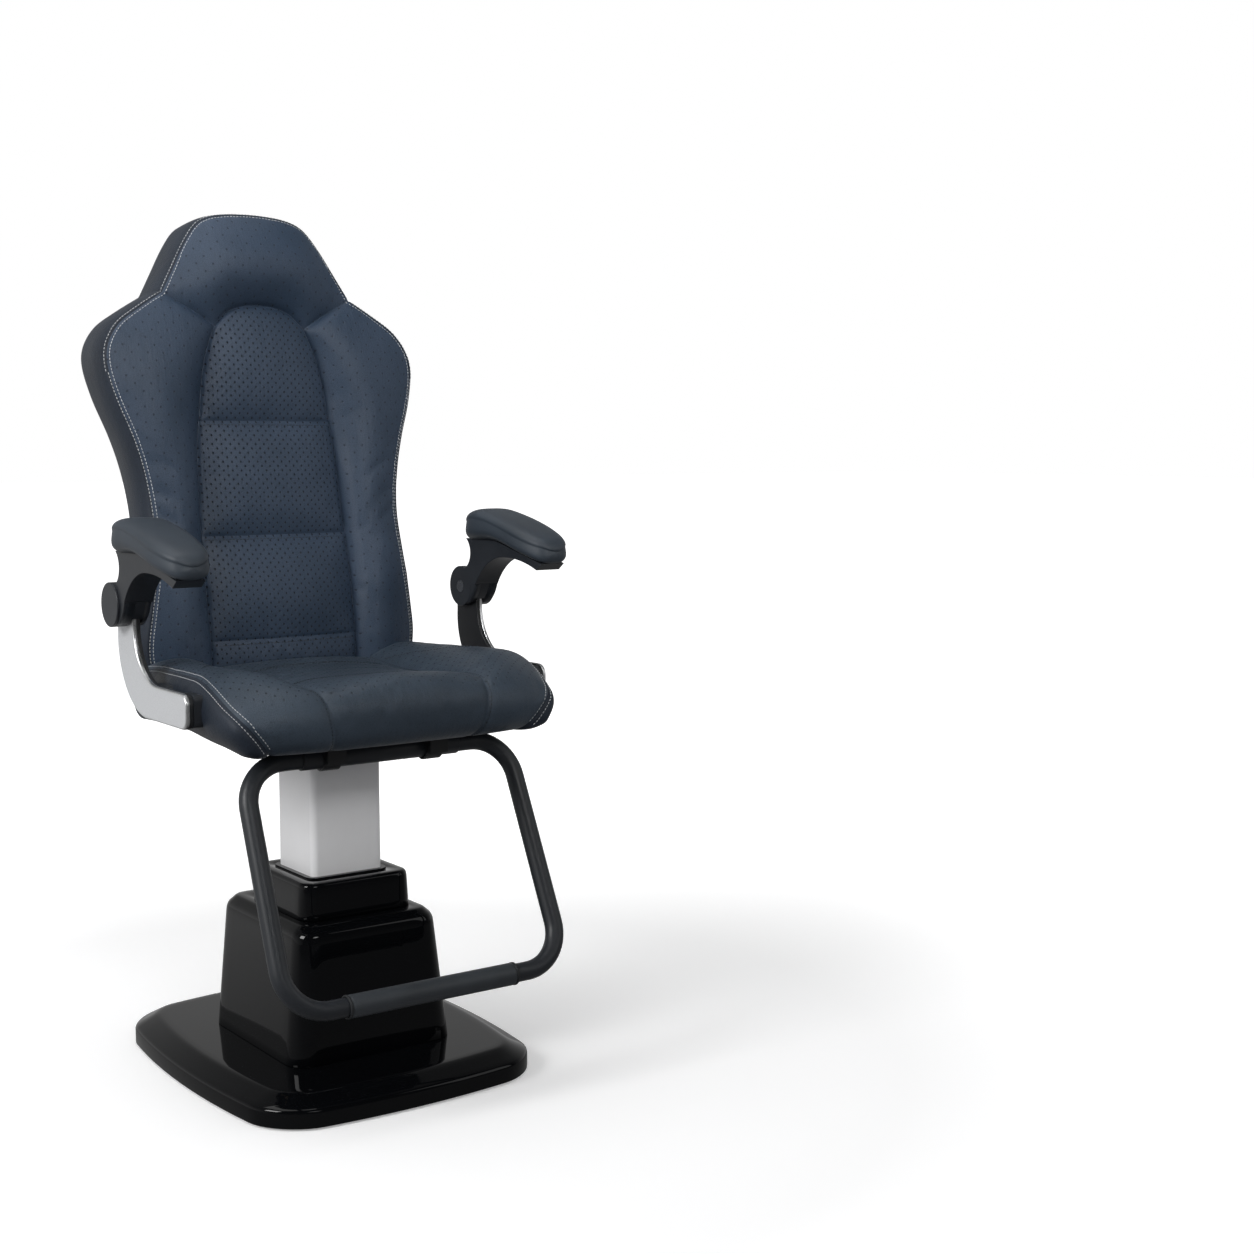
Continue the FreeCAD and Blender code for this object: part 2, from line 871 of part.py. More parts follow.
def rail_block(side, grow):
    """Wooden side rail on the seat board, grown by a clearance."""
    outer = side * board_half_width
    inner = side * (board_half_width - rail_thickness)
    return box(
        min(outer, inner) - grow,
        max(outer, inner) + grow,
        -rail_front - grow,
        rail_rear + grow,
        board_top,
        rail_top + grow,
    )


def make_seat_rail(side):
    rail = rail_block(side, 0)
    for y in bracket_bolt_places():
        hole = bracket_bolt_hole(side, y)
        recess = rod(
            bracket_bolt_head_radius + bolt_gap,
            point(side * (board_half_width - rail_thickness), y, bracket_leg_middle),
            X_AXIS * side,
            bracket_bolt_head_depth,
        )
        rail = rail.cut(hole).cut(recess)
    return rail


def bracket_bolt_places():
    return (-spacer_front_reach, -spacer_front_reach + spacer_spacing)


def bracket_bolt_hole(side, y):
    start = point(side * (board_half_width - rail_thickness), y, bracket_leg_middle)
    length = bracket_inner_face + bracket_bolt_grip - board_half_width + rail_thickness
    return rod(bracket_bolt_radius + bolt_gap, start, X_AXIS * side, length)


def make_bracket_bolts(side):
    """Bolts from inside the seat rails, whose heads sit in recesses in the wood."""
    bolts = []
    inner = board_half_width - rail_thickness
    for y in bracket_bolt_places():
        seat = inner + bracket_bolt_head_depth
        head = rod(
            bracket_bolt_head_radius,
            point(side * inner, y, bracket_leg_middle),
            X_AXIS * side,
            bracket_bolt_head_depth,
        )
        shank_length = bracket_inner_face + bracket_bolt_grip - bolt_gap - seat
        shank = rod(
            bracket_bolt_radius, point(side * seat, y, bracket_leg_middle), X_AXIS * side, shank_length
        )
        bolts.append(head.fuse(shank))
    return group(bolts)


def spacer_block(side, y, grow):
    """Black spacer between the seat rail and the bracket, grown by a clearance."""
    half_length = spacer_length / 2 + grow
    half_height = spacer_height / 2 + grow
    corner = spacer_corner + grow
    x = side * board_half_width
    z = bracket_leg_middle
    loop = plan_loop(half_length, half_height, half_height, corner, 0)
    solid = Part.Face(loop).extrude(Z_AXIS * (bracket_inner_face - board_half_width))
    solid.rotate(ORIGIN, Z_AXIS, 90)
    solid.rotate(ORIGIN, Y_AXIS, 90 * side)
    solid.translate(point(x, y, z))
    return solid


def make_spacers(side):
    spacers = []
    for y in bracket_bolt_places():
        spacers.append(spacer_block(side, y, 0).cut(bracket_bolt_hole(side, y)))
    return group(spacers)


def seat_section(shares):
    """Cross-section of the seat cushion: flat bottom, round sides, bolsters and a crowned panel."""
    depth, width, rise, drop, channel = shares
    y = -seat_front + depth * (seat_front + seat_rear)
    half = seat_half_width * width
    bottom = seat_bottom + rise * seat_thickness
    top = seat_bottom + (1 - drop) * seat_thickness
    waist = (bottom + top) / 2
    fall = (top - bottom) / seat_thickness
    bottom_half = half - seat_bottom_draw
    crest_half = half - seat_top_draw
    panel_half = seat_panel_half_width
    channel_z = top - seat_channel_drop * channel * fall
    edges = []
    edges.append(line(point(-bottom_half, y, bottom), point(bottom_half, y, bottom)))
    edges.append(
        corner_arc(
            point(bottom_half, y, bottom), point(half, y, bottom), point(half, y, waist), bend_mid_share
        )
    )
    edges.append(
        corner_arc(point(half, y, waist), point(half, y, top), point(crest_half, y, top), bend_mid_share)
    )
    edges.append(
        bowed_arc(
            point(crest_half, y, top), point(panel_half, y, channel_z), Z_AXIS * seat_bolster_crown * fall
        )
    )
    edges.append(
        bowed_arc(
            point(panel_half, y, channel_z),
            point(-panel_half, y, channel_z),
            Z_AXIS * seat_panel_crown * fall,
        )
    )
    edges.append(
        bowed_arc(
            point(-panel_half, y, channel_z), point(-crest_half, y, top), Z_AXIS * seat_bolster_crown * fall
        )
    )
    edges.append(
        corner_arc(point(-crest_half, y, top), point(-half, y, top), point(-half, y, waist), bend_mid_share)
    )
    edges.append(
        corner_arc(
            point(-half, y, waist), point(-half, y, bottom), point(-bottom_half, y, bottom), bend_mid_share
        )
    )
    return Part.Wire(edges)


def make_seat_cushion():
    """Upholstered foam that wraps the seat board and its rails."""
    cushion = Part.makeLoft([seat_section(shares) for shares in seat_station_shares], True, False)
    board_room = plan_block(
        board_half_width + soft_gap,
        board_front + soft_gap,
        board_rear + soft_gap,
        board_corner + soft_gap,
        mount_plate_bottom,
        board_top + soft_gap,
    )
    cushion = cushion.cut(board_room)
    for _, side in SIDES:
        cushion = cushion.cut(rail_block(side, soft_gap))
        for y in bracket_bolt_places():
            cushion = cushion.cut(spacer_block(side, y, spacer_margin))
    return cushion


def back_rear(z):
    """Distance behind the axis of the back's rear plane at height z."""
    return back_rear_foot + (z - back_bottom) * back_rear_slope_share


def back_width_share(height_share):
    """Half-width share of the back at a share of its height, between the stations."""
    for low, high in zip(back_station_shares, back_station_shares[1:]):
        if height_share <= high[0]:
            part = (height_share - low[0]) / (high[0] - low[0])
            return low[1] + part * (high[1] - low[1])
    return back_station_shares[-1][1]


def back_section(shares):
    """Level section of the back cushion: flat rear, bowed gussets, wings and a crowned insert.

    Above the insert the channel share is zero, and the front is one smooth crown.
    """
    height, width, lean, channel, insert, rounding = shares
    z = back_bottom + height * back_height
    half = back_half_width * width
    draw = back_end_draw * rounding
    front = back_front_foot + back_front_lean * lean + draw
    rear = back_rear(z) - draw / 2
    bow = gusset_bow * (1 - rounding)
    rear_half = half - gusset_draw * (1 - rounding)
    channel_half = back_insert_half_width * insert

    def smooth_front(x):
        return front - head_crown * (1 - (x / half) ** 2)

    def front_place(x, shaped):
        return point(x, shaped * channel + smooth_front(x) * (1 - channel), z)

    channel_y = front + back_channel_depth
    channel_place = front_place(channel_half, channel_y)
    wing_place = front_place((half + channel_half) / 2, (front + channel_y) / 2 - wing_crown)
    insert_place = front_place(0, channel_y - insert_crown)
    return Part.Wire(
        [
            line(point(rear_half, rear, z), point(-rear_half, rear, z)),
            bowed_arc(point(-rear_half, rear, z), point(-half, front, z), X_AXIS * -bow),
            arc(point(-half, front, z), mirrored(wing_place), mirrored(channel_place)),
            arc(mirrored(channel_place), insert_place, channel_place),
            arc(channel_place, wing_place, point(half, front, z)),
            bowed_arc(point(half, front, z), point(rear_half, rear, z), X_AXIS * bow),
        ]
    )


def back_slab(margin, foot_margin_size, head_margin, offset, thickness):
    """Slab on the back's rear plane that follows its outline, moved in by margin."""
    low = foot_margin_size / back_height
    high = 1 - head_margin / back_height
    heights = [low]
    heights += [shares[0] for shares in back_station_shares if low < shares[0] < high]
    heights.append(high)
    outline = []
    for height in heights:
        z = back_bottom + height * back_height
        half = back_half_width * back_width_share(height) - margin
        outline.append(point(half, back_rear(z) + offset, z))
    outline += [mirrored(place) for place in reversed(outline)]
    outline.append(outline[0])
    return Part.Face(Part.makePolygon(outline)).extrude(Y_AXIS * thickness)


def make_back_cushion():
    cushion = Part.makeLoft([back_section(shares) for shares in back_station_shares], True, False)
    board_room = back_slab(
        back_board_margin - soft_gap,
        back_board_foot_margin - soft_gap,
        back_board_head_margin - soft_gap,
        -back_board_thickness - soft_gap,
        back_board_thickness + soft_gap + overrun,
    )
    return cushion.cut(board_room).cut(behind_back())


def behind_back():
    """Space behind the back's rear plane, wide enough to trim the cushion flat."""
    low = back_bottom - back_end_draw
    high = back_bottom + back_height + back_end_draw
    depth = X_AXIS * (2 * back_half_width)
    outline = [
        point(-back_half_width, back_rear(low) - soft_gap, low),
        point(-back_half_width, back_rear(high) - soft_gap, high),
        point(-back_half_width, back_rear(high) + back_end_draw, high),
        point(-back_half_width, back_rear(low) + back_end_draw, low),
        point(-back_half_width, back_rear(low) - soft_gap, low),
    ]
    return Part.Face(Part.makePolygon(outline)).extrude(depth)


def back_bolt_places():
    """Bolts of the two bars: x, and height on the back's rear plane."""
    places = []
    for x in (-back_bar_offset, back_bar_offset):
        for step in range(2):
            places.append((x, back_bar_top - back_bolt_margin - step * back_bolt_spacing))
    return places


def rear_normal():
    """Direction out of the back's rear plane."""
    tilt = math.atan(back_rear_slope_share)
    return point(0, math.cos(tilt), -math.sin(tilt))


def back_bolt_hole(x, z, radius):
    """Round hole through the bars, the rear panel and the board, square to the rear plane."""
    normal = rear_normal()
    start = point(x, back_rear(z), z) - normal * back_board_thickness * 2
    return rod(radius, start, normal, back_board_thickness * 4)


def make_back_board():
    board = back_slab(
        back_board_margin,
        back_board_foot_margin,
        back_board_head_margin,
        -back_board_thickness,
        back_board_thickness,
    )
    for x, z in back_bolt_places():
        board = board.cut(back_bolt_hole(x, z, seat_bolt_radius + bolt_gap))
    return board


def make_back_rear_panel():
    panel = back_slab(
        rear_panel_margin, rear_panel_end_margin, rear_panel_end_margin, 0, rear_panel_thickness
    )
    for x, z in back_bolt_places():
        panel = panel.cut(back_bolt_hole(x, z, seat_bolt_radius + bolt_gap))
    return panel


def bar_front(z):
    """Front face of the upright bars, which lies on the rear panel."""
    return back_rear(z) + rear_panel_thickness


def make_back_bars():
    """Two flat bars, bolted under the seat board and bent up behind the back."""
    normal = rear_normal()
    bend_y = bar_front(board_bottom)
    thickness = back_bar_thickness
    outer_shift = thickness / normal.y
    low_z = board_bottom - thickness
    outline = [
        point(0, back_bar_start, board_bottom),
        point(0, bend_y, board_bottom),
        point(0, bar_front(back_bar_top), back_bar_top),
        point(0, bar_front(back_bar_top), back_bar_top) + normal * thickness,
        point(0, bar_front(low_z) + outer_shift, low_z),
        point(0, back_bar_start, low_z),
        point(0, back_bar_start, board_bottom),
    ]
    bars = []
    for side in (-1, 1):
        face = Part.Face(Part.makePolygon(outline))
        bar = face.extrude(X_AXIS * back_bar_width)
        bar.translate(point(side * back_bar_offset - back_bar_width / 2, 0, 0))
        inner_edges = bar_bend_edges(bar, bend_y, board_bottom)
        bar = bar.makeFillet(back_bar_bend - thickness, inner_edges)
        outer_edges = bar_bend_edges(bar, bar_front(low_z) + outer_shift, low_z)
        bar = bar.makeFillet(back_bar_bend, outer_edges)
        bars.append(bar)
    holes = [back_bolt_hole(x, z, seat_bolt_radius + bolt_gap) for x, z in back_bolt_places()]
    holes += [bar_foot_hole(x) for x in (-back_bar_offset, back_bar_offset)]
    return group([bar.cut(holes) for bar in bars])


def bar_foot_hole(x):
    """Upright hole through a bar and the seat board."""
    start = point(x, back_bar_start + back_foot_bolt_margin, mount_plate_top - back_bar_thickness)
    return rod(seat_bolt_radius + bolt_gap, start, Z_AXIS, board_top)


def bar_bend_edges(bar, y, z):
    """Edges of a bar that run across it at the given place."""
    found = []
    for edge in bar.Edges:
        middle = edge.CenterOfMass
        across = abs(edge.tangentAt(edge.FirstParameter).x) > 1 / 2
        if across and math.hypot(middle.y - y, middle.z - z) < back_bar_thickness / 2:
            found.append(edge)
    return found


def make_back_bolts():
    normal = rear_normal()
    grip = back_bar_thickness + rear_panel_thickness * normal.y + back_board_thickness - bolt_gap
    bolts = []
    for x, z in back_bolt_places():
        plane_point = point(x, back_rear(z), z)
        lift = rear_panel_thickness * normal.y + back_bar_thickness
        bolts.append(hex_bolt(seat_bolt_radius, plane_point + normal * lift, normal * -1, grip))
    foot_grip = back_bar_thickness + board_thickness - bolt_gap
    for x in (-back_bar_offset, back_bar_offset):
        start = point(x, back_bar_start + back_foot_bolt_margin, board_bottom - back_bar_thickness)
        bolts.append(hex_bolt(seat_bolt_radius, start, Z_AXIS, foot_grip))
    return group(bolts)


def footrest_points():
    """Corners of the footrest loop, from the joint in the top bar round to the other side of it."""
    gap = footrest_joint_gap / 2
    top = (-footrest_top_reach, footrest_top_height)
    low = (-footrest_low_reach, footrest_low_height)
    return [
        point(-gap, *top),
        point(-footrest_top_half_width, *top),
        point(-footrest_low_half_width, *low),
        point(footrest_low_half_width, *low),
        point(footrest_top_half_width, *top),
        point(gap, *top),
    ]


def rounded_path(points, radius):
    """Wire along the points with an arc of the given radius at each inner one."""
    edges = []
    last = points[0]
    for before, corner, after in zip(points, points[1:], points[2:]):
        back = (before - corner).normalize()
        ahead = (after - corner).normalize()
        half_angle = back.getAngle(ahead) / 2
        reach = radius / math.tan(half_angle)
        start = corner + back * reach
        end = corner + ahead * reach
        bisector = (back + ahead).normalize()
        middle = corner + bisector * (radius / math.sin(half_angle) - radius)
        edges.append(line(last, start))
        edges.append(arc(start, middle, end))
        last = end
    edges.append(line(last, points[-1]))
    return Part.Wire(edges)


def make_footrest_tube():
    points = footrest_points()
    path = rounded_path(points, footrest_bend)
    solids = []
    for radius in (footrest_tube_radius, footrest_tube_radius - footrest_tube_wall):
        profile = Part.Wire([Part.makeCircle(radius, points[0], X_AXIS)])
        solids.append(path.makePipeShell([profile], True, False))
    return solids[0].cut(solids[1])


def make_footrest_sleeve():
    inner = footrest_tube_radius + bolt_gap
    start = point(-sleeve_half_length, -footrest_top_reach, footrest_top_height)
    return ring(inner + sleeve_wall, inner, start, X_AXIS, 2 * sleeve_half_length)


def make_footrest_grip():
    inner = footrest_tube_radius + bolt_gap
    start = point(-grip_half_length, -footrest_low_reach, footrest_low_height)
    return ring(inner + grip_wall, inner, start, X_AXIS, 2 * grip_half_length)


def make_grip_rings():
    inner = footrest_tube_radius + bolt_gap
    rings = []
    for x in (-grip_half_length - grip_ring_width, grip_half_length):
        start = point(x, -footrest_low_reach, footrest_low_height)
        rings.append(ring(inner + grip_ring_wall, inner, start, X_AXIS, grip_ring_width))
    return group(rings)


def clamp_block(side, z0, z1):
    """Half of a footrest clamp, bored for the sleeve and drilled for its bolts."""
    x = side * clamp_offset
    y = -footrest_top_reach
    block = box(
        x - clamp_width / 2, x + clamp_width / 2, y - clamp_half_depth, y + clamp_half_depth, z0, z1
    )
    sleeve_radius = footrest_tube_radius + sleeve_wall + 2 * bolt_gap
    bore = rod(
        sleeve_radius,
        point(x - clamp_width, y, footrest_top_height),
        X_AXIS,
        2 * clamp_width,
    )
    block = block.cut(bore)
    for bolt_x, bolt_y in clamp_bolt_places():
        if bolt_x == x:
            block = block.cut(rod(clamp_bolt_radius + bolt_gap, point(x, bolt_y, 0), Z_AXIS, board_top))
    return block


def clamp_bolt_places():
    places = []
    for side in (-1, 1):
        for shift in (-clamp_bolt_offset, clamp_bolt_offset):
            places.append((side * clamp_offset, -footrest_top_reach + shift))
    return places


def clamp_bottom():
    return footrest_top_height - footrest_tube_radius - sleeve_wall - clamp_floor


def make_footrest_saddles():
    z0 = footrest_top_height + clamp_split_gap / 2
    return group([clamp_block(side, z0, board_bottom) for side in (-1, 1)])


def make_footrest_caps():
    z1 = footrest_top_height - clamp_split_gap / 2
    return group([clamp_block(side, clamp_bottom(), z1) for side in (-1, 1)])


def make_footrest_bolts():
    grip = board_top - clamp_bottom() - bolt_gap
    bolts = []
    for x, y in clamp_bolt_places():
        bolts.append(hex_bolt(clamp_bolt_radius, point(x, y, clamp_bottom()), Z_AXIS, grip))
    return group(bolts)


def side_prism(edges, side, inner, outer):
    """Solid swept sideways from an outline in the plane x = 0, between two distances."""
    solid = prism(edges, X_AXIS * (side * (outer - inner)))
    solid.translate(X_AXIS * (side * inner))
    return solid


def bracket_outline():
    """L-shaped bracket seen from the side: round eye, upright, bend and level leg."""
    half = bracket_upright_width / 2
    rear = pivot_reach + half
    front = pivot_reach - half
    low = bracket_leg_bottom
    high = bracket_leg_top
    tip = -bracket_leg_reach
    corner = bracket_leg_corner
    outer_top = point(0, rear, low + bracket_outer_bend_rise)
    outer_low = point(0, rear - bracket_outer_bend_run, low)
    inner_top = point(0, front, high + bracket_inner_bend_rise)
    inner_low = point(0, front - bracket_inner_bend_run, high)
    return [
        line(point(0, rear, pivot_height), outer_top),
        corner_arc(outer_top, point(0, rear, low), outer_low, bend_mid_share),
        line(outer_low, point(0, tip + corner, low)),
        corner_arc(
            point(0, tip + corner, low), point(0, tip, low), point(0, tip, low + corner), bend_mid_share
        ),
        line(point(0, tip, low + corner), point(0, tip, high - corner)),
        corner_arc(
            point(0, tip, high - corner), point(0, tip, high), point(0, tip + corner, high), bend_mid_share
        ),
        line(point(0, tip + corner, high), inner_low),
        corner_arc(inner_low, point(0, front, high), inner_top, bend_mid_share),
        line(inner_top, point(0, front, pivot_height)),
        arc(
            point(0, front, pivot_height),
            point(0, pivot_reach, pivot_height + half),
            point(0, rear, pivot_height),
        ),
    ]


def make_bracket(side):
    bracket = side_prism(bracket_outline(), side, bracket_inner_face, bracket_face)
    start = point(side * (bracket_inner_face - overrun), pivot_reach, pivot_height)
    length = bracket_thickness + 2 * overrun
    bracket = bracket.cut(rod(pin_radius + running_gap, start, X_AXIS * side, length))
    for y in bracket_bolt_places():
        bracket = bracket.cut(bracket_bolt_hole(side, y))
    return bracket


def make_pivot_washers(side):
    washers = []
    for start_x in (
        bracket_face + pivot_washer_gap,
        bracket_inner_face - pivot_washer_gap - pivot_washer_thickness,
    ):
        start = point(side * start_x, pivot_reach, pivot_height)
        washers.append(
            ring(
                pivot_washer_radius,
                pin_radius + running_gap,
                start,
                X_AXIS * side,
                pivot_washer_thickness,
            )
        )
    return group(washers)


def shell_top_points():
    """Line on which the pad sits, from the rear to the nose."""
    return [
        point(0, shell_rear, shell_rear_height),
        point(0, -shell_level_reach, shell_rear_height),
        point(0, -shell_nose, shell_nose_height),
    ]


def shell_outline():
    """Arm shell seen from the side, without its knuckle."""
    rise = shell_rear_height - pivot_height
    run = shell_nose + pivot_reach
    underside = []
    for run_share, rise_share in shell_underside_shares:
        underside.append(point(0, -shell_nose + run_share * run, pivot_height + rise_share * rise))
    neck = point(0, pivot_reach - knuckle_radius * shell_neck_share, pivot_height)
    waist = point(0, shell_rear - shell_rear_waist_draw, pivot_height + rise * shell_rear_waist_share)
    foot = point(0, pivot_reach, pivot_height + knuckle_radius * (1 - bend_mid_share / 4))
    rear_top, flat_end, nose_top = shell_top_points()
    return [
        line(rear_top, flat_end),
        line(flat_end, nose_top),
        line(nose_top, underside[0]),
        arc(underside[0], underside[1], underside[2]),
        arc(underside[2], underside[3], underside[4]),
        line(underside[4], neck),
        line(neck, foot),
        arc(foot, waist, rear_top),
    ]


def knuckle_cylinder(side, radius, inner, outer):
    start = point(side * inner, pivot_reach, pivot_height)
    return rod(radius, start, X_AXIS * side, outer - inner)


def make_arm_shell(side):
    shell = side_prism(shell_outline(), side, shell_inner, shell_outer)
    shell = shell.fuse(knuckle_cylinder(side, knuckle_radius, shell_inner, shell_outer))
    slot = knuckle_cylinder(
        side,
        bracket_upright_width / 2 + knuckle_slot_gap,
        pivot_middle - pivot_slot_half,
        pivot_middle + pivot_slot_half,
    )
    shell = shell.cut(slot)
    pin_hole = knuckle_cylinder(side, pin_radius + bolt_gap, shell_inner - overrun, shell_outer + overrun)
    shell = shell.cut(pin_hole)
    head_room = pin_head_radius + bolt_gap
    for inner, outer in (
        (shell_outer - pin_head_height, shell_outer + overrun),
        (shell_inner - overrun, shell_inner + pin_head_height),
    ):
        shell = shell.cut(knuckle_cylinder(side, head_room, inner, outer))
    return shell.removeSplitter()


def make_pivot_pin(side):
    pin = knuckle_cylinder(side, pin_radius, shell_inner, shell_outer)
    head = knuckle_cylinder(side, pin_head_radius, shell_outer - pin_head_height, shell_outer)
    nut = knuckle_cylinder(side, pin_head_radius, shell_inner, shell_inner + pin_head_height)
    return pin.fuse([head, nut])


def make_pivot_cap(side):
    disc = knuckle_cylinder(side, knuckle_radius, shell_outer, shell_outer + pivot_cap_thickness)
    rim = [
        edge
        for edge in disc.Edges
        if abs(abs(edge.CenterOfMass.x) - shell_outer - pivot_cap_thickness) < bolt_gap
        and edge.Closed
    ]
    return disc.makeFillet(pivot_cap_dome, rim)


def pad_section(side, shares):
    """Cross-section of an arm pad: flat bottom, drawn-in sides and a crowned top."""
    length, width, drop, rise = shares
    y = -pad_front + length * (pad_front + pad_rear)
    floor = shell_nose_height - pad_floor_drop
    thickness = pad_crest_height - shell_nose_height
    half = pad_half_width * width
    top = pad_crest_height - drop * thickness
    bottom = floor + rise * thickness
    shoulder = top - pad_crown
    waist = (shoulder + bottom) / 2
    x = side * arm_middle
    low_half = half - pad_side_draw * width
    high_half = half - pad_side_draw * width / 2
    edges = [
        line(point(x - low_half, y, bottom), point(x + low_half, y, bottom)),
        arc(
            point(x + low_half, y, bottom), point(x + half, y, waist), point(x + high_half, y, shoulder)
        ),
        bowed_arc(
            point(x + high_half, y, shoulder), point(x - high_half, y, shoulder), Z_AXIS * pad_crown
        ),
        arc(
            point(x - high_half, y, shoulder), point(x - half, y, waist), point(x - low_half, y, bottom)
        ),
    ]
    return Part.Wire(edges)


def make_arm_pad(side):
    """Padded armrest, cut flat where it sits on its shell."""
    pad = Part.makeLoft([pad_section(side, shares) for shares in pad_station_shares], True, False)
    rear_top, flat_end, nose_top = shell_top_points()
    slope = (nose_top - flat_end).normalize()
    below = Z_AXIS * (shell_rear_height - pivot_height)
    ahead = nose_top + slope * pad_half_width
    behind = rear_top + Y_AXIS * pad_half_width
    outline = [behind, flat_end, ahead, ahead - below, behind - below, behind]
    inner = arm_middle - 2 * pad_half_width
    outer = arm_middle + 2 * pad_half_width
    face = Part.Face(Part.makePolygon(outline))
    seat = face.extrude(X_AXIS * (side * (outer - inner)))
    seat.translate(X_AXIS * (side * inner))
    return pad.cut(seat)


def save(name, shape):
    shape.exportStep("parts/" + name + ".step")
    print(name, len(shape.Solids), round(shape.Volume), shape.isValid())


def main():
    os.makedirs("parts", exist_ok=True)
    save("base_feet", make_base_feet())
    save("base_plate", make_base_plate())
    save("base_cover", make_base_cover())
    save("cable_gland", make_cable_gland())
    save("pedestal_housing", make_pedestal_housing())
    save("pedestal_collar", make_pedestal_collar())
    save("column_wiper", make_column_wiper())
    save("mast", make_mast())
    save("mast_bolts", make_mast_bolts())
    save("mast_slide_pads", make_mast_slide_pads())
    save("actuator_gearbox", make_actuator_gearbox())
    save("actuator_motor", make_actuator_motor())
    save("actuator_tube", make_actuator_tube())
    save("actuator_bush", make_actuator_bush())
    save("control_box", make_control_box())
    save("column", make_column())
    save("column_slide_pads", make_column_slide_pads())
    save("column_top_plate", make_column_top_plate())
    save("actuator_rod", make_actuator_rod())
    save("rod_mount", make_rod_mount())
    save("rod_pin", make_rod_pin())
    save("swivel_hub", make_swivel_hub())
    save("thrust_washer", make_thrust_washer())
    save("hub_retainer", make_hub_retainer())
    save("seat_mount_plate", make_seat_mount_plate())
    save("seat_cross_bars", make_cross_bars())
    save("seat_bolts", make_seat_bolts())
    save("seat_board", make_seat_board())
    save("seat_cushion", make_seat_cushion())
    save("back_bars", make_back_bars())
    save("back_bolts", make_back_bolts())
    save("back_board", make_back_board())
    save("back_cushion", make_back_cushion())
    save("back_rear_panel", make_back_rear_panel())
    save("footrest_tube", make_footrest_tube())
    save("footrest_sleeve", make_footrest_sleeve())
    save("footrest_grip", make_footrest_grip())
    save("footrest_grip_rings", make_grip_rings())
    save("footrest_saddles", make_footrest_saddles())
    save("footrest_clamp_caps", make_footrest_caps())
    save("footrest_bolts", make_footrest_bolts())
    for name, side in SIDES:
        save(name + "_seat_rail", make_seat_rail(side))
        save(name + "_bracket_spacers", make_spacers(side))
        save(name + "_bracket", make_bracket(side))
        save(name + "_bracket_bolts", make_bracket_bolts(side))
        save(name + "_pivot_washers", make_pivot_washers(side))
        save(name + "_arm_shell", make_arm_shell(side))
        save(name + "_arm_pad", make_arm_pad(side))
        save(name + "_pivot_pin", make_pivot_pin(side))
        save(name + "_pivot_cap", make_pivot_cap(side))


main()
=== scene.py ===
import math

import bmesh
import bpy
import numpy as np
from mathutils import Matrix, Vector
from mathutils.bvhtree import BVHTree
from mathutils.kdtree import KDTree


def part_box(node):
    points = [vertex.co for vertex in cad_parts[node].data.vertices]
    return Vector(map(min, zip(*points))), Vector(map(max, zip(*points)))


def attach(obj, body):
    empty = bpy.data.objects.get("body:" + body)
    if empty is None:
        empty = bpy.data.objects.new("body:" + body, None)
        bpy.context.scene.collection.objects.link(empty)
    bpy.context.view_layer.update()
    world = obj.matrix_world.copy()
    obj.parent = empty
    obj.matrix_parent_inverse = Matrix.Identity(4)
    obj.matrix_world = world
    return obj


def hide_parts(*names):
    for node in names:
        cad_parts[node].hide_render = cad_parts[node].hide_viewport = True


bl_info = {
    "name": "Ophthalmic examination chair",
    "version": (1, 0, 0),
    "blender": (4, 5, 0),
    "location": "View3D > Sidebar > Chair",
    "description": "Dresses the packed chair with upholstery, mouldings, paint and stitching",
    "category": "Object",
}

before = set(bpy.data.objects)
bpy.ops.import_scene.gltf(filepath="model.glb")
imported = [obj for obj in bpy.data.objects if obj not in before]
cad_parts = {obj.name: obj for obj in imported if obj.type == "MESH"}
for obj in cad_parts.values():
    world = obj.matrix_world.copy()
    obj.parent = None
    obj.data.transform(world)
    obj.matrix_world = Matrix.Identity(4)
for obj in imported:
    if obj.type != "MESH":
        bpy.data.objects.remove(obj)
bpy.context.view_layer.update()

MM = 0.001
BODY_SLOTS = {}
for node_name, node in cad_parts.items():
    slots = [m.name for m in node.data.materials if m]
    BODY_SLOTS[node_name] = slots[0] if slots else "plastic_black"


# --- sizes and colours


def colour_prop(name, description, default):
    return bpy.props.FloatVectorProperty(
        name=name, description=description, default=default, subtype="COLOR", size=3, min=0, max=1
    )


def length_prop(name, description, default):
    return bpy.props.FloatProperty(
        name=name, description=description, default=default, min=0, unit="LENGTH", subtype="DISTANCE"
    )


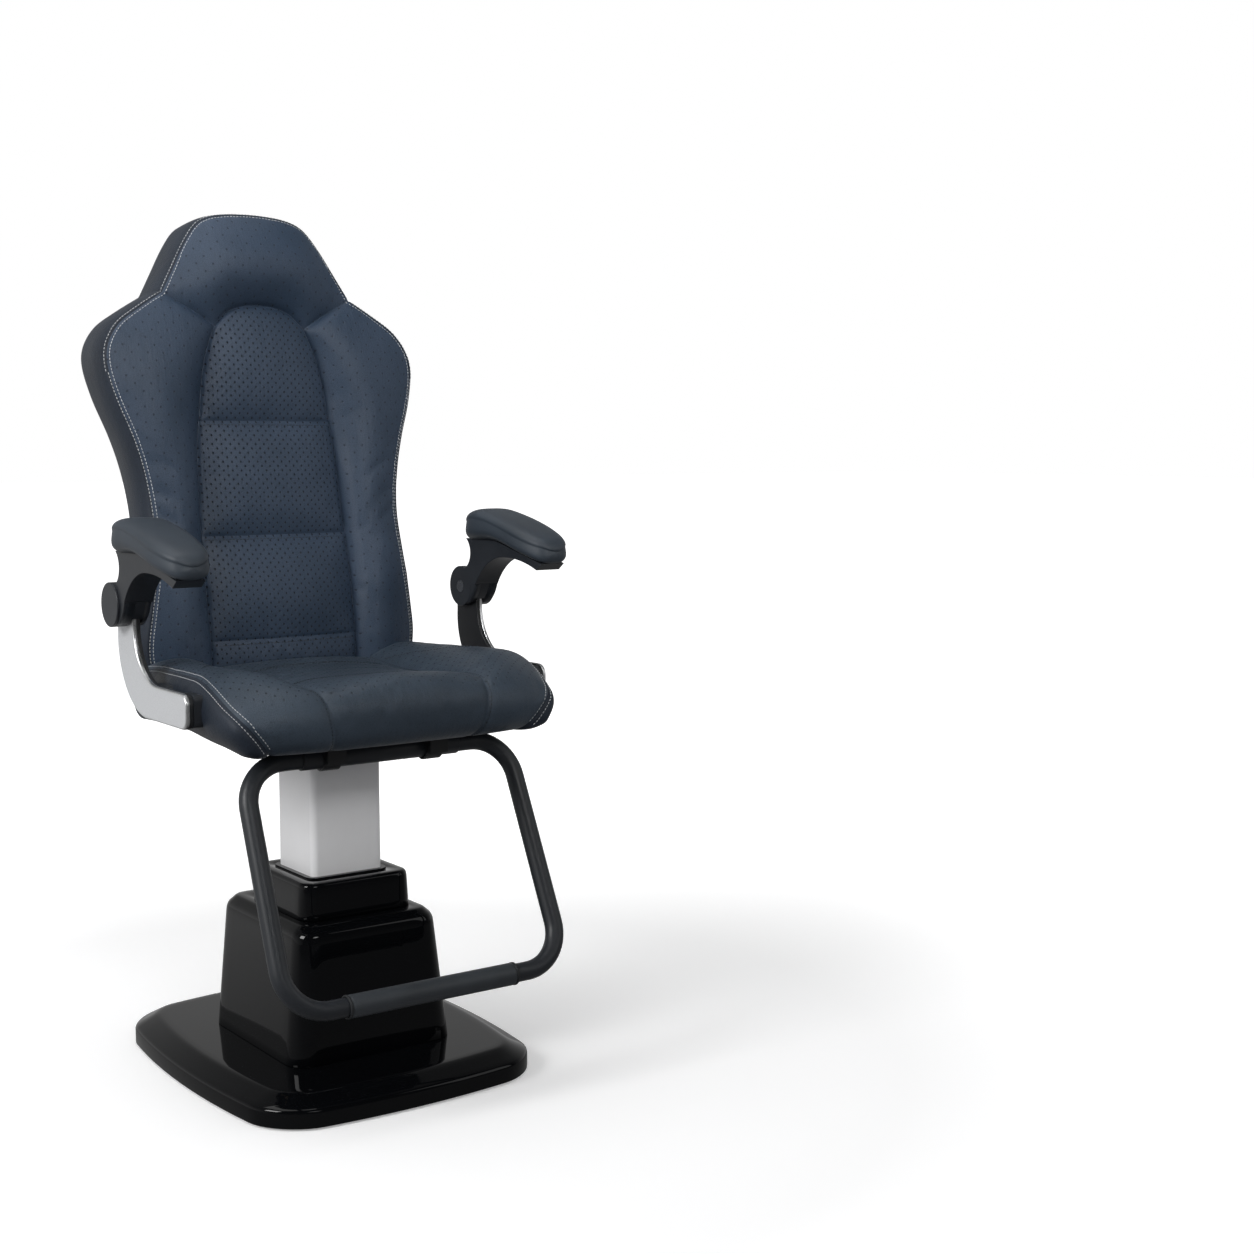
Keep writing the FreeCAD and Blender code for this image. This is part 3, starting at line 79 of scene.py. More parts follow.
class ChairColours(bpy.types.PropertyGroup):
    """Colours of the chair's finishes"""

    leather: colour_prop("Leather", "Upholstery of the seat and the back", (0.026, 0.046, 0.080))
    leather_pale: colour_prop("Leather wear", "Rubbed and crowned leather", (0.040, 0.063, 0.104))
    leather_seat: colour_prop("Seat leather", "Leather of the seat's top", (0.0330, 0.0480, 0.0680))
    # Side leather is the same leather darkened: painted shade on the gussets, boxing, rear panel and seat underside.
    leather_side_shaded: colour_prop("Side leather", "Gussets, boxing and rear panel", (0.016, 0.022, 0.033))
    thread: colour_prop("Thread", "Contrast thread of the double seams", (0.62, 0.64, 0.66))
    seam_thread: colour_prop("Seam thread", "Thread of the plain seams", (0.010, 0.014, 0.020))
    pad: colour_prop("Arm pad", "Skin of the arm pads", (0.030, 0.040, 0.053))
    shell: colour_prop("Arm shell", "Moulded arm shells", (0.017, 0.020, 0.025))
    gloss: colour_prop("Gloss black", "Lacquer of the base and pedestal", (0.0025, 0.0028, 0.0035))
    column: colour_prop("Column white", "Paint of the lifting column", (0.90, 0.90, 0.91))
    silver: colour_prop("Silver", "Paint of the arm brackets", (0.72, 0.735, 0.755))
    tube: colour_prop("Tube black", "Powder coat of the footrest", (0.018, 0.021, 0.026))
    rubber: colour_prop("Rubber", "Feet, wiper and grip", (0.016, 0.018, 0.021))


class ChairSizes(bpy.types.PropertyGroup):
    """Sizes of the upholstery's details"""

    seam_width: length_prop("Seam width", "Width of a sewn seam's valley", 0.0046)
    seam_depth: length_prop("Seam depth", "Depth of a sewn seam's valley", 0.0022)
    stitch_pitch: length_prop("Stitch pitch", "Distance from one stitch to the next", 0.0056)
    stitch_length: length_prop("Stitch length", "Length of one stitch", 0.0042)
    thread_width: length_prop("Thread width", "Thickness of the thread", 0.0012)
    back_row_offset: length_prop("Back rows", "Distance of the back's rows from their seam", 0.0050)
    seat_row_offset: length_prop("Seat rows", "Distance of the seat's rows from their seam", 0.0062)
    hole_pitch: length_prop("Hole pitch", "Spacing of the perforations", 0.0140)
    hole_radius: length_prop("Hole radius", "Radius of a perforation", 0.0013)
    rim_depth: length_prop("Insert rim depth", "Extra depth of the groove round the back's insert", 0.0040)
    puff_limit: length_prop("Puff", "Farthest that the filling may push the leather", 0.007)
    gusset_bow: length_prop("Gusset bow", "Outward bow of the back's gusset", 0.008)


def colours():
    return bpy.context.scene.chair_colours


def sizes():
    return bpy.context.scene.chair_sizes


# --- node groups


def new_group(name, numbers, outputs):
    """A shader node group with a Vector, number inputs and number outputs.

    Returns its tree, the sockets of its inputs and the node that takes its outputs.
    """
    tree = bpy.data.node_groups.new(name, "ShaderNodeTree")
    tree.interface.new_socket(name="Vector", in_out="INPUT", socket_type="NodeSocketVector")
    for label, default in numbers.items():
        socket = tree.interface.new_socket(name=label, in_out="INPUT", socket_type="NodeSocketFloat")
        socket.default_value = default
    for label in outputs:
        tree.interface.new_socket(name=label, in_out="OUTPUT", socket_type="NodeSocketFloat")
    return tree, tree.nodes.new("NodeGroupInput").outputs, tree.nodes.new("NodeGroupOutput")


def wire(tree, node, **values):
    """Sets a node's inputs, named or numbered as i0, i1 ..., to values or links from other sockets."""
    for key, value in values.items():
        numbered = key[0] == "i" and key[1:].isdigit()
        socket = node.inputs[int(key[1:]) if numbered else key.replace("_", " ")]
        if isinstance(value, bpy.types.NodeSocket):
            tree.links.new(value, socket)
        else:
            socket.default_value = value
    return node


def put(tree, kind, settings=None, **values):
    """A new shader node with its settings and its inputs wired."""
    made = tree.nodes.new("ShaderNode" + kind)
    for key, value in (settings or {}).items():
        setattr(made, key, value)
    return wire(tree, made, **values)


def maths(tree, operation, a, b):
    return put(tree, "Math", {"operation": operation}, i0=a, i1=b).outputs[0]


def noise(tree, vector, scale, detail=2.0, **values):
    return put(tree, "TexNoise", Vector=vector, Scale=scale, Detail=detail, **values).outputs[0]


def between(tree, value, low, high, to_low=0.0, to_high=1.0):
    """Maps value from low..high to to_low..to_high, clamped."""
    return put(tree, "MapRange", {"clamp": True}, i0=value, i1=low, i2=high, i3=to_low, i4=to_high).outputs[0]


def mix_colour(tree, share, a, b, blend="MIX"):
    return put(tree, "Mix", {"data_type": "RGBA", "blend_type": blend}, i0=share, i6=a, i7=b).outputs[2]


def facing_up(tree):
    """The upward part of the surface's normal."""
    normal = tree.nodes.new("ShaderNodeNewGeometry").outputs["Normal"]
    return put(tree, "SeparateXYZ", i0=normal).outputs[2]


def build_groups():
    """The effects that several materials share."""
    grain, start, end = new_group("Leather grain", {"Cells": 520.0}, ("Height", "Variation", "Folds"))
    cells = put(grain, "TexVoronoi", {"feature": "DISTANCE_TO_EDGE"}, Vector=start[0], Scale=start[1]).outputs[0]
    pores = noise(grain, start[0], 900.0, 3.0)
    broad = noise(grain, start[0], 9.0, 3.0)
    slanted = put(grain, "Mapping", Vector=start[0], Rotation=(0.3, 0.75, 0.4), Scale=(2.4, 1.0, 0.55)).outputs[0]
    raised = maths(grain, "MULTIPLY", between(grain, cells, 0.0, 0.22), 0.7)
    height = maths(grain, "ADD", raised, maths(grain, "MULTIPLY", pores, 0.3))
    folds = noise(grain, slanted, 30.0, 4.0, Roughness=0.6)
    wire(grain, end, i0=height, i1=between(grain, broad, 0.3, 0.7), i2=folds)

    holes, start, end = new_group("Punched holes", {"Pitch": 0.014, "Radius": 0.001}, ("Mask",))
    inverse = maths(holes, "DIVIDE", 1.0, start[1])
    scaled = put(holes, "VectorMath", {"operation": "SCALE"}, i0=start[0], Scale=inverse).outputs[0]
    distances = []
    for shift in (0.0, 0.5):
        spot = scaled
        for operation, amount in (
            ("ADD", (shift, shift, 0.0)),
            ("FRACTION", (0.0, 0.0, 0.0)),
            ("SUBTRACT", (0.5, 0.5, 0.0)),
            ("MULTIPLY", (1.0, 0.72, 0.0)),
        ):
            spot = put(holes, "VectorMath", {"operation": operation}, i0=spot, i1=amount).outputs[0]
        distances.append(put(holes, "VectorMath", {"operation": "LENGTH"}, i0=spot).outputs[1])
    real = maths(holes, "MULTIPLY", maths(holes, "MINIMUM", *distances), start[1])
    inner, outer = (maths(holes, "MULTIPLY", start[2], share) for share in (0.55, 1.25))
    wire(holes, end, i0=between(holes, real, inner, outer, 1.0, 0.0))

    dust, start, end = new_group("Dust and smudges", {"Scale": 7.0}, ("Smudge", "Dust", "Ripple"))
    smudge = between(dust, noise(dust, start[0], start[1], 5.0), 0.35, 0.75)
    speck = put(dust, "TexVoronoi", Vector=start[0], Scale=420.0, Randomness=1.0).outputs[0]
    ripple = noise(dust, start[0], 95.0, 1.0)
    wire(dust, end, i0=smudge, i1=between(dust, speck, 0.02, 0.11, 1.0, 0.0), i2=ripple)

    skin, start, end = new_group("Moulded skin", {"Scale": 900.0}, ("Height", "Variation"))
    broad = noise(skin, start[0], 14.0, 4.0)
    wire(skin, end, i0=noise(skin, start[0], start[1]), i1=between(skin, broad, 0.3, 0.7))
    return {"grain": grain, "holes": holes, "dust": dust, "skin": skin}


def place(tree, group, vector, **values):
    """A shared effect in a material, at the vector."""
    node = tree.nodes.new("ShaderNodeGroup")
    node.node_tree = group
    return wire(tree, node, Vector=vector, **values)


# --- materials


def start_material(name):
    """A new node material with its tree, shader and Object coordinates."""
    material = bpy.data.materials.new(name)
    material.use_nodes = True
    tree = material.node_tree
    shader = tree.nodes["Principled BSDF"]
    where = tree.nodes.new("ShaderNodeTexCoord").outputs["Object"]
    return material, tree, shader, where


def bump(tree, shader, height, distance, strength=1.0, under=None):
    """Bump on the shader's normal, over another bump's normal where under gives one."""
    values = {} if under is None else {"Normal": under}
    normal = put(tree, "Bump", Height=height, Distance=distance, Strength=strength, **values).outputs[0]
    wire(tree, shader, Normal=normal)
    return normal


def rgba(colour, factor=1.0):
    return (min(1.0, colour[0] * factor), min(1.0, colour[1] * factor), min(1.0, colour[2] * factor), 1.0)


UPRIGHT = (math.radians(90), 0.0, 0.0)
LEVEL = (0.0, 0.0, 0.0)
HOLE_BLACK = (0.004, 0.005, 0.007, 1.0)


def leather_material(name, groups, dark, pale, plane=None, holes=0.0, apart=1.0):
    """Grained leather; plane turns Object coordinates so that the holes lie on x and y."""
    material, tree, shader, where = start_material(name)
    grain = place(tree, groups["grain"], where, Cells=520.0)
    tone = mix_colour(tree, grain.outputs["Variation"], dark, pale)
    valley = between(tree, grain.outputs["Height"], 0.1, 0.6, 0.55, 1.0)
    shade = put(tree, "CombineColor", i0=valley, i1=valley, i2=valley).outputs[0]
    tone = mix_colour(tree, 1.0, tone, shade, "MULTIPLY")
    rough = between(tree, grain.outputs["Variation"], 0.0, 1.0, 0.44, 0.54)
    folds = bump(tree, shader, grain.outputs["Folds"], 0.0022, 0.6)
    skin = bump(tree, shader, grain.outputs["Height"], 0.00022, 0.55, folds)
    if plane is not None:
        turned = put(tree, "Mapping", {"vector_type": "POINT"}, Vector=where, Rotation=plane).outputs[0]
        punched = place(tree, groups["holes"], turned, Pitch=sizes().hole_pitch * apart, Radius=sizes().hole_radius)
        mask = maths(tree, "MULTIPLY", punched.outputs[0], holes)
        if plane == LEVEL:
            mask = maths(tree, "MULTIPLY", mask, between(tree, facing_up(tree), 0.6, 0.85))
        tone = mix_colour(tree, mask, tone, HOLE_BLACK)
        bump(tree, shader, maths(tree, "SUBTRACT", 1.0, mask), 0.0012, 0.8, skin)
        rough = maths(tree, "ADD", rough, maths(tree, "MULTIPLY", mask, 0.3))
    gloss = 0.38 if plane is not None else 0.26
    wire(tree, shader, Base_Color=tone, Roughness=rough, Specular_IOR_Level=gloss)
    return material


def skin_material(name, groups, colour, rough, scale, depth, vary=0.25):
    """Moulded plastic, rubber or polyurethane skin with a fine texture."""
    material, tree, shader, where = start_material(name)
    skin = place(tree, groups["skin"], where, Scale=scale)
    tone = mix_colour(tree, skin.outputs["Variation"], rgba(colour, 1 - vary), rgba(colour, 1 + vary))
    shine = between(tree, skin.outputs["Variation"], 0.0, 1.0, rough - 0.05, rough + 0.05)
    bump(tree, shader, skin.outputs["Height"], depth, 0.6)
    wire(tree, shader, Base_Color=tone, Roughness=shine, Specular_IOR_Level=0.5)
    return material


GREY_SPECK = (0.5, 0.5, 0.5, 1.0)


def paint_material(name, groups, colour, rough, coat=0.0, ripple=0.00008, dust=0.0, speck=GREY_SPECK, gloss=0.5):
    """Lacquer or powder coat with a slight ripple, smudges and settled dust."""
    material, tree, shader, where = start_material(name)
    grime = place(tree, groups["dust"], where, Scale=6.0)
    tone = mix_colour(tree, grime.outputs["Smudge"], rgba(colour, 0.94), rgba(colour, 1.04))
    settled = maths(tree, "MULTIPLY", between(tree, facing_up(tree), 0.4, 1.0), grime.outputs["Dust"])
    tone = mix_colour(tree, maths(tree, "MULTIPLY", settled, dust), tone, speck)
    shine = between(tree, grime.outputs["Smudge"], 0.0, 1.0, rough, rough + 0.035)
    bump(tree, shader, grime.outputs["Ripple"], ripple, 0.35)
    wire(tree, shader, Base_Color=tone, Roughness=shine, Metallic=0.0, Specular_IOR_Level=gloss)
    wire(tree, shader, Coat_Weight=coat, Coat_Roughness=0.03)
    return material


def metal_material(name, groups, colour, rough, stretch=(1.0, 1.0, 1.0), depth=0.00004):
    """Bare or plated metal with fine drawn marks."""
    material, tree, shader, where = start_material(name)
    drawn = put(tree, "Mapping", Vector=where, Scale=stretch).outputs[0]
    skin = place(tree, groups["skin"], drawn, Scale=700.0)
    tone = mix_colour(tree, skin.outputs["Variation"], rgba(colour, 0.85), rgba(colour, 1.08))
    shine = between(tree, skin.outputs["Height"], 0.3, 0.7, max(0.05, rough - 0.08), rough + 0.08)
    bump(tree, shader, skin.outputs["Height"], depth, 0.5)
    wire(tree, shader, Base_Color=tone, Roughness=shine, Metallic=1.0)
    return material


def silver_material(name, groups, colour):
    """Silver paint: fine flake under a clear coat."""
    material, tree, shader, where = start_material(name)
    grime = place(tree, groups["dust"], where, Scale=9.0)
    flake = put(tree, "TexVoronoi", Vector=where, Scale=2400.0).outputs["Color"]
    glint = put(tree, "SeparateColor", i0=flake).outputs[0]
    tone = mix_colour(tree, glint, rgba(colour, 0.86), rgba(colour, 1.1))
    shine = between(tree, grime.outputs["Smudge"], 0.0, 1.0, 0.30, 0.38)
    bump(tree, shader, grime.outputs["Ripple"], 0.00008, 0.3)
    wire(tree, shader, Base_Color=tone, Roughness=shine, Metallic=0.3, Coat_Weight=0.3, Coat_Roughness=0.1)
    return material


def plywood_material(name, _groups):
    """Birch plywood: long grain on the faces and thin plies on the edges."""
    material, tree, shader, where = start_material(name)
    grain = put(tree, "Mapping", Vector=where, Scale=(60.0, 4.0, 60.0)).outputs[0]
    streaks = noise(tree, grain, 3.0, 6.0)
    plies = put(tree, "TexWave", {"bands_direction": "Z"}, Vector=where, Scale=120.0, Distortion=0.6).outputs[1]
    tone = mix_colour(tree, streaks, (0.42, 0.28, 0.15, 1.0), (0.62, 0.46, 0.28, 1.0))
    tone = mix_colour(tree, maths(tree, "MULTIPLY", plies, 0.25), tone, (0.25, 0.15, 0.08, 1.0))
    bump(tree, shader, streaks, 0.0002, 0.4)
    wire(tree, shader, Base_Color=tone, Roughness=between(tree, streaks, 0.2, 0.8, 0.5, 0.7))
    return material


def thread_material(name, _groups, colour):
    """Twisted thread."""
    material, tree, shader, where = start_material(name)
    strands = put(tree, "TexWave", {"bands_direction": "DIAGONAL"}, Vector=where, Scale=900.0).outputs[1]
    bump(tree, shader, strands, 0.0002, 0.4)
    tone = mix_colour(tree, strands, rgba(colour, 0.78), rgba(colour, 1.05))
    wire(tree, shader, Base_Color=tone, Roughness=0.6)
    return material


MATERIALS = {}


def build_materials():
    """Fills MATERIALS: each row holds a name and what its maker takes after the node groups."""
    groups = build_groups()
    palette = colours()
    dark, pale = rgba(palette.leather), rgba(palette.leather_pale)
    # side holds the darkened side colour: painted shade on the cushions' sides.
    side, seat = rgba(palette.leather_side_shaded), rgba(palette.leather_seat)
    rows = {
        leather_material: (
            ("leather_insert", dark, pale, UPRIGHT, 0.95),
            ("leather_wing", dark, pale, UPRIGHT, 0.6, 1.7),
            ("leather_seat", seat, rgba(seat, 1.4), LEVEL, 0.8, 1.3),
            # The plain leather takes the darkened side colour: painted shade on the sides and underside.
            ("leather_plain", side, rgba(side, 1.5)),
        ),
        thread_material: (("thread", palette.thread), ("seam_thread", palette.seam_thread)),
        skin_material: (
            ("pad_polyurethane", palette.pad, 0.52, 620.0, 0.00016, 0.12),
            ("arm_plastic", palette.shell, 0.42, 1100.0, 0.00010, 0.12),
            ("rubber_black", palette.rubber, 0.62, 800.0, 0.00016, 0.2),
            ("plastic_black", palette.shell, 0.45, 900.0, 0.00012, 0.2),
            ("nylon", (0.72, 0.71, 0.67), 0.4, 500.0, 0.0001, 0.08),
            # The grip's colour is the tube's made nearly twice as light: painted light on the footrest's bottom bar.
            ("grip_rubber", (0.034, 0.040, 0.047), 0.5, 800.0, 0.00012, 0.15),
        ),
        paint_material: (
            ("gloss_black", palette.gloss, 0.035, 0.0, 0.00005, 0.05, (0.25, 0.27, 0.28, 1.0), 0.24),
            ("paint_white", palette.column, 0.22, 0.4, 0.00006),
            ("tube_black", palette.tube, 0.42, 0.0, 0.0001, 0.1),
            ("steel_black", (0.014, 0.015, 0.017), 0.4, 0.0, 0.00014, 0.2),
        ),
        metal_material: (
            ("steel_zinc", (0.55, 0.56, 0.58), 0.32),
            ("steel_polished", (0.72, 0.73, 0.74), 0.16, (1.0, 8.0, 8.0)),
            ("aluminium_cast", (0.42, 0.43, 0.44), 0.5, (1.0, 1.0, 1.0), 0.0002),
            ("bronze", (0.55, 0.36, 0.16), 0.35),
            ("steel_chrome", (0.78, 0.79, 0.8), 0.1, (8.0, 8.0, 1.0)),
            ("silver_edge", (0.80, 0.81, 0.82), 0.34),
        ),
        silver_material: (("paint_silver", palette.silver),),
        plywood_material: (("plywood",),),
    }
    for make, listed in rows.items():
        for name, *values in listed:
            MATERIALS[name] = make(name, groups, *values)
    MATERIALS["leatherette"] = MATERIALS["leatherette_plain"] = MATERIALS["leather_plain"]


# --- mesh helpers


def run_length(places):
    """Distance along a line of points, from its start to each point."""
    return np.concatenate([[0.0], np.cumsum(np.linalg.norm(np.diff(places, axis=0), axis=1))])


def read_at(stops, run, rows):
    """The rows, which belong to the distances in run, read at each stop."""
    return np.stack([np.interp(stops, run, rows[:, k]) for k in range(rows.shape[1])], axis=1)


def through(points, count):
    """Evenly spaced points, count steps apart, on the smooth curve through the given points."""
    places = np.array(points, float)
    gaps = np.linalg.norm(np.diff(places, axis=0), axis=1)
    knots = np.concatenate([[0.0], np.cumsum(np.sqrt(gaps))])
    slopes = np.gradient(places, knots, axis=0)
    fine = np.linspace(0.0, knots[-1], 60 * len(places))
    span = np.clip(np.searchsorted(knots, fine, side="right") - 1, 0, len(knots) - 2)
    width = (knots[span + 1] - knots[span])[:, None]
    s = (fine - knots[span])[:, None] / width
    curve = (
        (2 * s**3 - 3 * s**2 + 1) * places[span]
        + (s**3 - 2 * s**2 + s) * width * slopes[span]
        + (3 * s**2 - 2 * s**3) * places[span + 1]
        + (s**3 - s**2) * width * slopes[span + 1]
    )
    run = run_length(curve)
    return read_at(np.linspace(0.0, run[-1], count + 1), run, curve)


def through_marks(points, axis, marks, counts):
    """Points on the smooth curve with set counts of steps between the levels in marks along axis."""
    fine = through(points, 1200)
    cuts = [0]
    for mark in marks:
        rest = fine[cuts[-1] :, axis]
        cuts.append(cuts[-1] + int(np.argmin(np.abs(rest - mark))))
    cuts.append(len(fine) - 1)
    stops = [np.linspace(a, b, n + 1)[:-1] for a, b, n in zip(cuts, cuts[1:], counts)]
    stops = np.concatenate(stops + [[len(fine) - 1]])
    return read_at(stops, np.arange(len(fine)), fine)


def resample(points, pitch):
    """Points about a pitch apart along a line, half a pitch in from its ends."""
    places = np.array(points, float)
    run = run_length(places)
    count = max(2, int(run[-1] / pitch))
    return read_at((np.arange(count) + 0.5) * run[-1] / count, run, places)


def patch(bm, south, north, west, east, shape, material):
    """A grid stretched between four edge curves that share their corners.

    south and north run along u, west and east along v. shape(u, v) gives an extra move.
    """
    columns, rows = len(south) - 1, len(west) - 1
    faces = set()
    for vert in bmesh.ops.create_grid(bm, x_segments=columns, y_segments=rows, size=1.0)["verts"]:
        i = round((vert.co.x + 1) / 2 * columns)
        j = round((vert.co.y + 1) / 2 * rows)
        u, v = i / columns, j / rows
        across = (1 - v) * south[i] + v * north[i]
        along = (1 - u) * west[j] + u * east[j]
        corners = (
            (1 - u) * (1 - v) * south[0] + u * (1 - v) * south[-1] + (1 - u) * v * north[0] + u * v * north[-1]
        )
        vert.co = Vector(across + along - corners) + shape(u, v)
        faces.update(vert.link_faces)
    for face in faces:
        face.material_index = material


def finish_mesh(name, bm, materials, sharp=None):
    """Writes a bmesh to a new smooth object at the origin; sharp is the angle of its hard edges in degrees."""
    mesh = bpy.data.meshes.new(name)
    bm.to_mesh(mesh)
    bm.free()
    return show(name, mesh, materials, sharp)


def show(name, mesh, materials, sharp=None):
    """A new object with the mesh, its materials and smooth shading."""
    obj = bpy.data.objects.new(name, mesh)
    bpy.context.scene.collection.objects.link(obj)
    for material in materials:
        mesh.materials.append(MATERIALS[material])
    mesh.shade_smooth()
    if sharp is not None:
        mesh.set_sharp_from_angle(angle=math.radians(sharp))
    return obj


def declare(obj, slot, body, *nodes, fill=None):
    """Hides the CAD nodes that the piece stands for and hangs it on the body it rides on; its finish (slot) and how
    soft it is (fill) are not used.
    """
    if nodes:
        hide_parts(*nodes)
    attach(obj, body)


def opened(obj):
    """A bmesh that holds a copy of the object's mesh."""
    bm = bmesh.new()
    bm.from_mesh(obj.data)
    return bm


def tidy_bmesh(bm, distance=0.00005):
    bmesh.ops.remove_doubles(bm, verts=bm.verts, dist=distance)
    bmesh.ops.recalc_face_normals(bm, faces=bm.faces)


def split_large(bm):
    """Cuts faces with many corners into triangles."""
    bmesh.ops.triangulate(bm, faces=[f for f in bm.faces if len(f.verts) > 8])


def bevel(bm, edges, width, segments, clamp=False):
    bmesh.ops.bevel(
        bm, geom=edges, offset=width, segments=segments, profile=0.5, affect="EDGES", clamp_overlap=clamp, material=-1
    )


def extrude_ring(bm, ring, edges):
    """Extrudes a closed line. Returns its new vertices, in the order of ring, and its new edges."""
    made = bmesh.ops.extrude_edge_only(bm, edges=edges)["geom"]
    fresh = {g for g in made if isinstance(g, bmesh.types.BMVert)}
    edges = [g for g in made if isinstance(g, bmesh.types.BMEdge) and all(v in fresh for v in g.verts)]
    partner = {e.other_vert(v): v for v in fresh for e in v.link_edges if e.other_vert(v) not in fresh}
    return [partner[v] for v in ring], edges


def point_tree(places):
    tree = KDTree(len(places))
    for index, spot in enumerate(places):
        tree.insert(spot, index)
    tree.balance()
    return tree


def subdivide(obj):
    """One level of Subdivision Surface, in the view and in the render."""
    modifier = obj.modifiers.new("Subdivision", "SUBSURF")
    modifier.levels = modifier.render_levels = 1


def weigh_normals(obj):
    """Large faces keep their shading flat beside rounded rims."""
    obj.modifiers.new("Weighted Normal", "WEIGHTED_NORMAL").keep_sharp = True


PUFF_FRAMES = 20


def puff(obj, pinned, pressure, slack):
    """Fills the cushion by a short cloth simulation that holds the pinned points, and applies it."""
    obj.vertex_groups.new(name="held").add(pinned, 1.0, "REPLACE")
    modifier = obj.modifiers.new("Cloth", "CLOTH")
    cloth = modifier.settings
    cloth.quality = 6
    cloth.mass = 0.3
    cloth.tension_stiffness = cloth.compression_stiffness = 15.0
    cloth.shear_stiffness = 7.5
    cloth.bending_stiffness = 1.2
    cloth.use_pressure = True
    cloth.uniform_pressure_force = pressure
    cloth.vertex_group_mass = "held"
    cloth.shrink_min = -slack
    cloth.effector_weights.gravity = 0.0
    modifier.collision_settings.use_collision = False
    modifier.collision_settings.use_self_collision = False
    modifier.point_cache.frame_start = 1
    modifier.point_cache.frame_end = PUFF_FRAMES
    scene = bpy.context.scene
    for number in range(1, PUFF_FRAMES + 1):
        scene.frame_set(number)
    moved = obj.evaluated_get(bpy.context.evaluated_depsgraph_get()).data
    count = len(obj.data.vertices)
    if len(moved.vertices) != count:
        raise RuntimeError(f"{obj.name}: the simulation changed the mesh")
    before, after = np.empty(count * 3), np.empty(count * 3)
    obj.data.vertices.foreach_get("co", before)
    moved.vertices.foreach_get("co", after)
    step = (after - before).reshape(-1, 3)
    reach = np.linalg.norm(step, axis=1, keepdims=True)
    step *= np.minimum(1.0, sizes().puff_limit / np.maximum(reach, 1e-9))
    obj.modifiers.remove(modifier)
    obj.data.vertices.foreach_set("co", (before.reshape(-1, 3) + step).ravel())
    obj.vertex_groups.clear()
    obj.data.update()
    scene.frame_set(1)


def sink_seams(obj, bm, edges, width, depth, deeper=None):
    """Makes a valley of the seam edges, deeper where deeper(place) is true, and smooths the piece."""
    tree = point_tree([vert.co.copy() for vert in {v for e in edges for v in e.verts}])
    bevel(bm, list(edges), width / 2, 2, True)
    bm.normal_update()
    for vert in bm.verts:
        _, _, gap = tree.find(vert.co)
        if gap is not None and gap < width * 0.3:
            more = sizes().rim_depth if deeper is not None and deeper(vert.co) else 0.0
            vert.co -= vert.normal * (depth + more)
    bm.to_mesh(obj.data)
    bm.free()
    obj.data.shade_smooth()
    subdivide(obj)


def surface_of(obj):
    """Search tree of the finished mesh, with its modifiers."""
    evaluated = obj.evaluated_get(bpy.context.evaluated_depsgraph_get())
    mesh = evaluated.to_mesh()
    verts = [v.co.copy() for v in mesh.vertices]
    faces = [tuple(p.vertices) for p in mesh.polygons]
    evaluated.to_mesh_clear()
    return BVHTree.FromPolygons(verts, faces)


def sew(bm, surface, line, side, offset):
    """A row of stitches beside a seam line, on the surface, offset towards side(point)."""
    places = resample(line, sizes().stitch_pitch)
    thin = sizes().thread_width / 2
    batch, held = bmesh.new(), bpy.data.meshes.new("stitch_batch")
    for index, raw in enumerate(places):
        ahead = places[min(index + 1, len(places) - 1)] - places[max(index - 1, 0)]
        along = Vector(ahead).normalized()
        start = Vector(raw)
        toward = Vector(side(start))
        toward = (toward - along * toward.dot(along)).normalized()
        spot, normal, _, _ = surface.find_nearest(start + toward * offset)
        if spot is not None:
            along = (along - normal * along.dot(normal)).normalized()
            turn = Matrix((along, normal.cross(along), normal)).transposed().to_4x4()
            turn.translation = spot + normal * (sizes().thread_width * 0.18)
            grain = turn @ Matrix.Diagonal((sizes().stitch_length / 2, thin, thin, 1.0))
            grain = grain @ Matrix.Rotation(math.radians(90), 4, "Y")
            bmesh.ops.create_uvsphere(batch, u_segments=6, v_segments=4, radius=1.0, matrix=grain)
        if index % 40 == 39 or index == len(places) - 1:
            batch.to_mesh(held)
            bm.from_mesh(held)
            batch.clear()
    batch.free()
    bpy.data.meshes.remove(held)


def stitching(name, bm, material):
    """Turns rows of stitches into a piece that rides with the seat."""
    declare(finish_mesh(name, bm, [material]), "leatherette", "seat")


def rounded_loop(half_width, front, rear, corner, side_bow=0.0, end_bow=0.0, steps=10, runs=12):
    """Plan outline: a rounded rectangle with bowed sides, as a list of (x, y)."""
    middle, half_depth = (rear - front) / 2, (rear + front) / 2
    corner = max(corner, 0.5)
    points = []
    for quarter, (sx, sy) in enumerate(((1, 1), (-1, 1), (-1, -1), (1, -1))):
        cx, cy = sx * (half_width - corner), sy * (half_depth - corner)
        for step in range(steps + 1):
            angle = math.radians(90 * quarter + 90 * step / steps)
            points.append((cx + corner * math.cos(angle), cy + corner * math.sin(angle)))
        nx, ny = ((-1, 1), (-1, -1), (1, -1), (1, 1))[quarter]
        ex = nx * (half_width - corner) + corner * math.cos(math.radians(90 * quarter + 90))
        ey = ny * (half_depth - corner) + corner * math.sin(math.radians(90 * quarter + 90))
        x0, y0 = points[-1]
        points += [(x0 + (ex - x0) * run / runs, y0 + (ey - y0) * run / runs) for run in range(1, runs)]
    bowed = []
    for x, y in points:
        wide = side_bow * max(0.0, 1 - (y / half_depth) ** 2) * x / half_width
        deep = end_bow * max(0.0, 1 - (x / half_width) ** 2) * y / half_depth
        bowed.append(((x + wide) * MM, (y + deep + middle) * MM))
    return bowed


def round_disc(bm, count, capped):
    """A circle's vertices in order of their angle."""
    made = bmesh.ops.create_circle(bm, cap_ends=capped, segments=count, radius=1.0)["verts"]
    return sorted(made, key=lambda v: math.atan2(v.co.y, v.co.x) % (2 * math.pi))


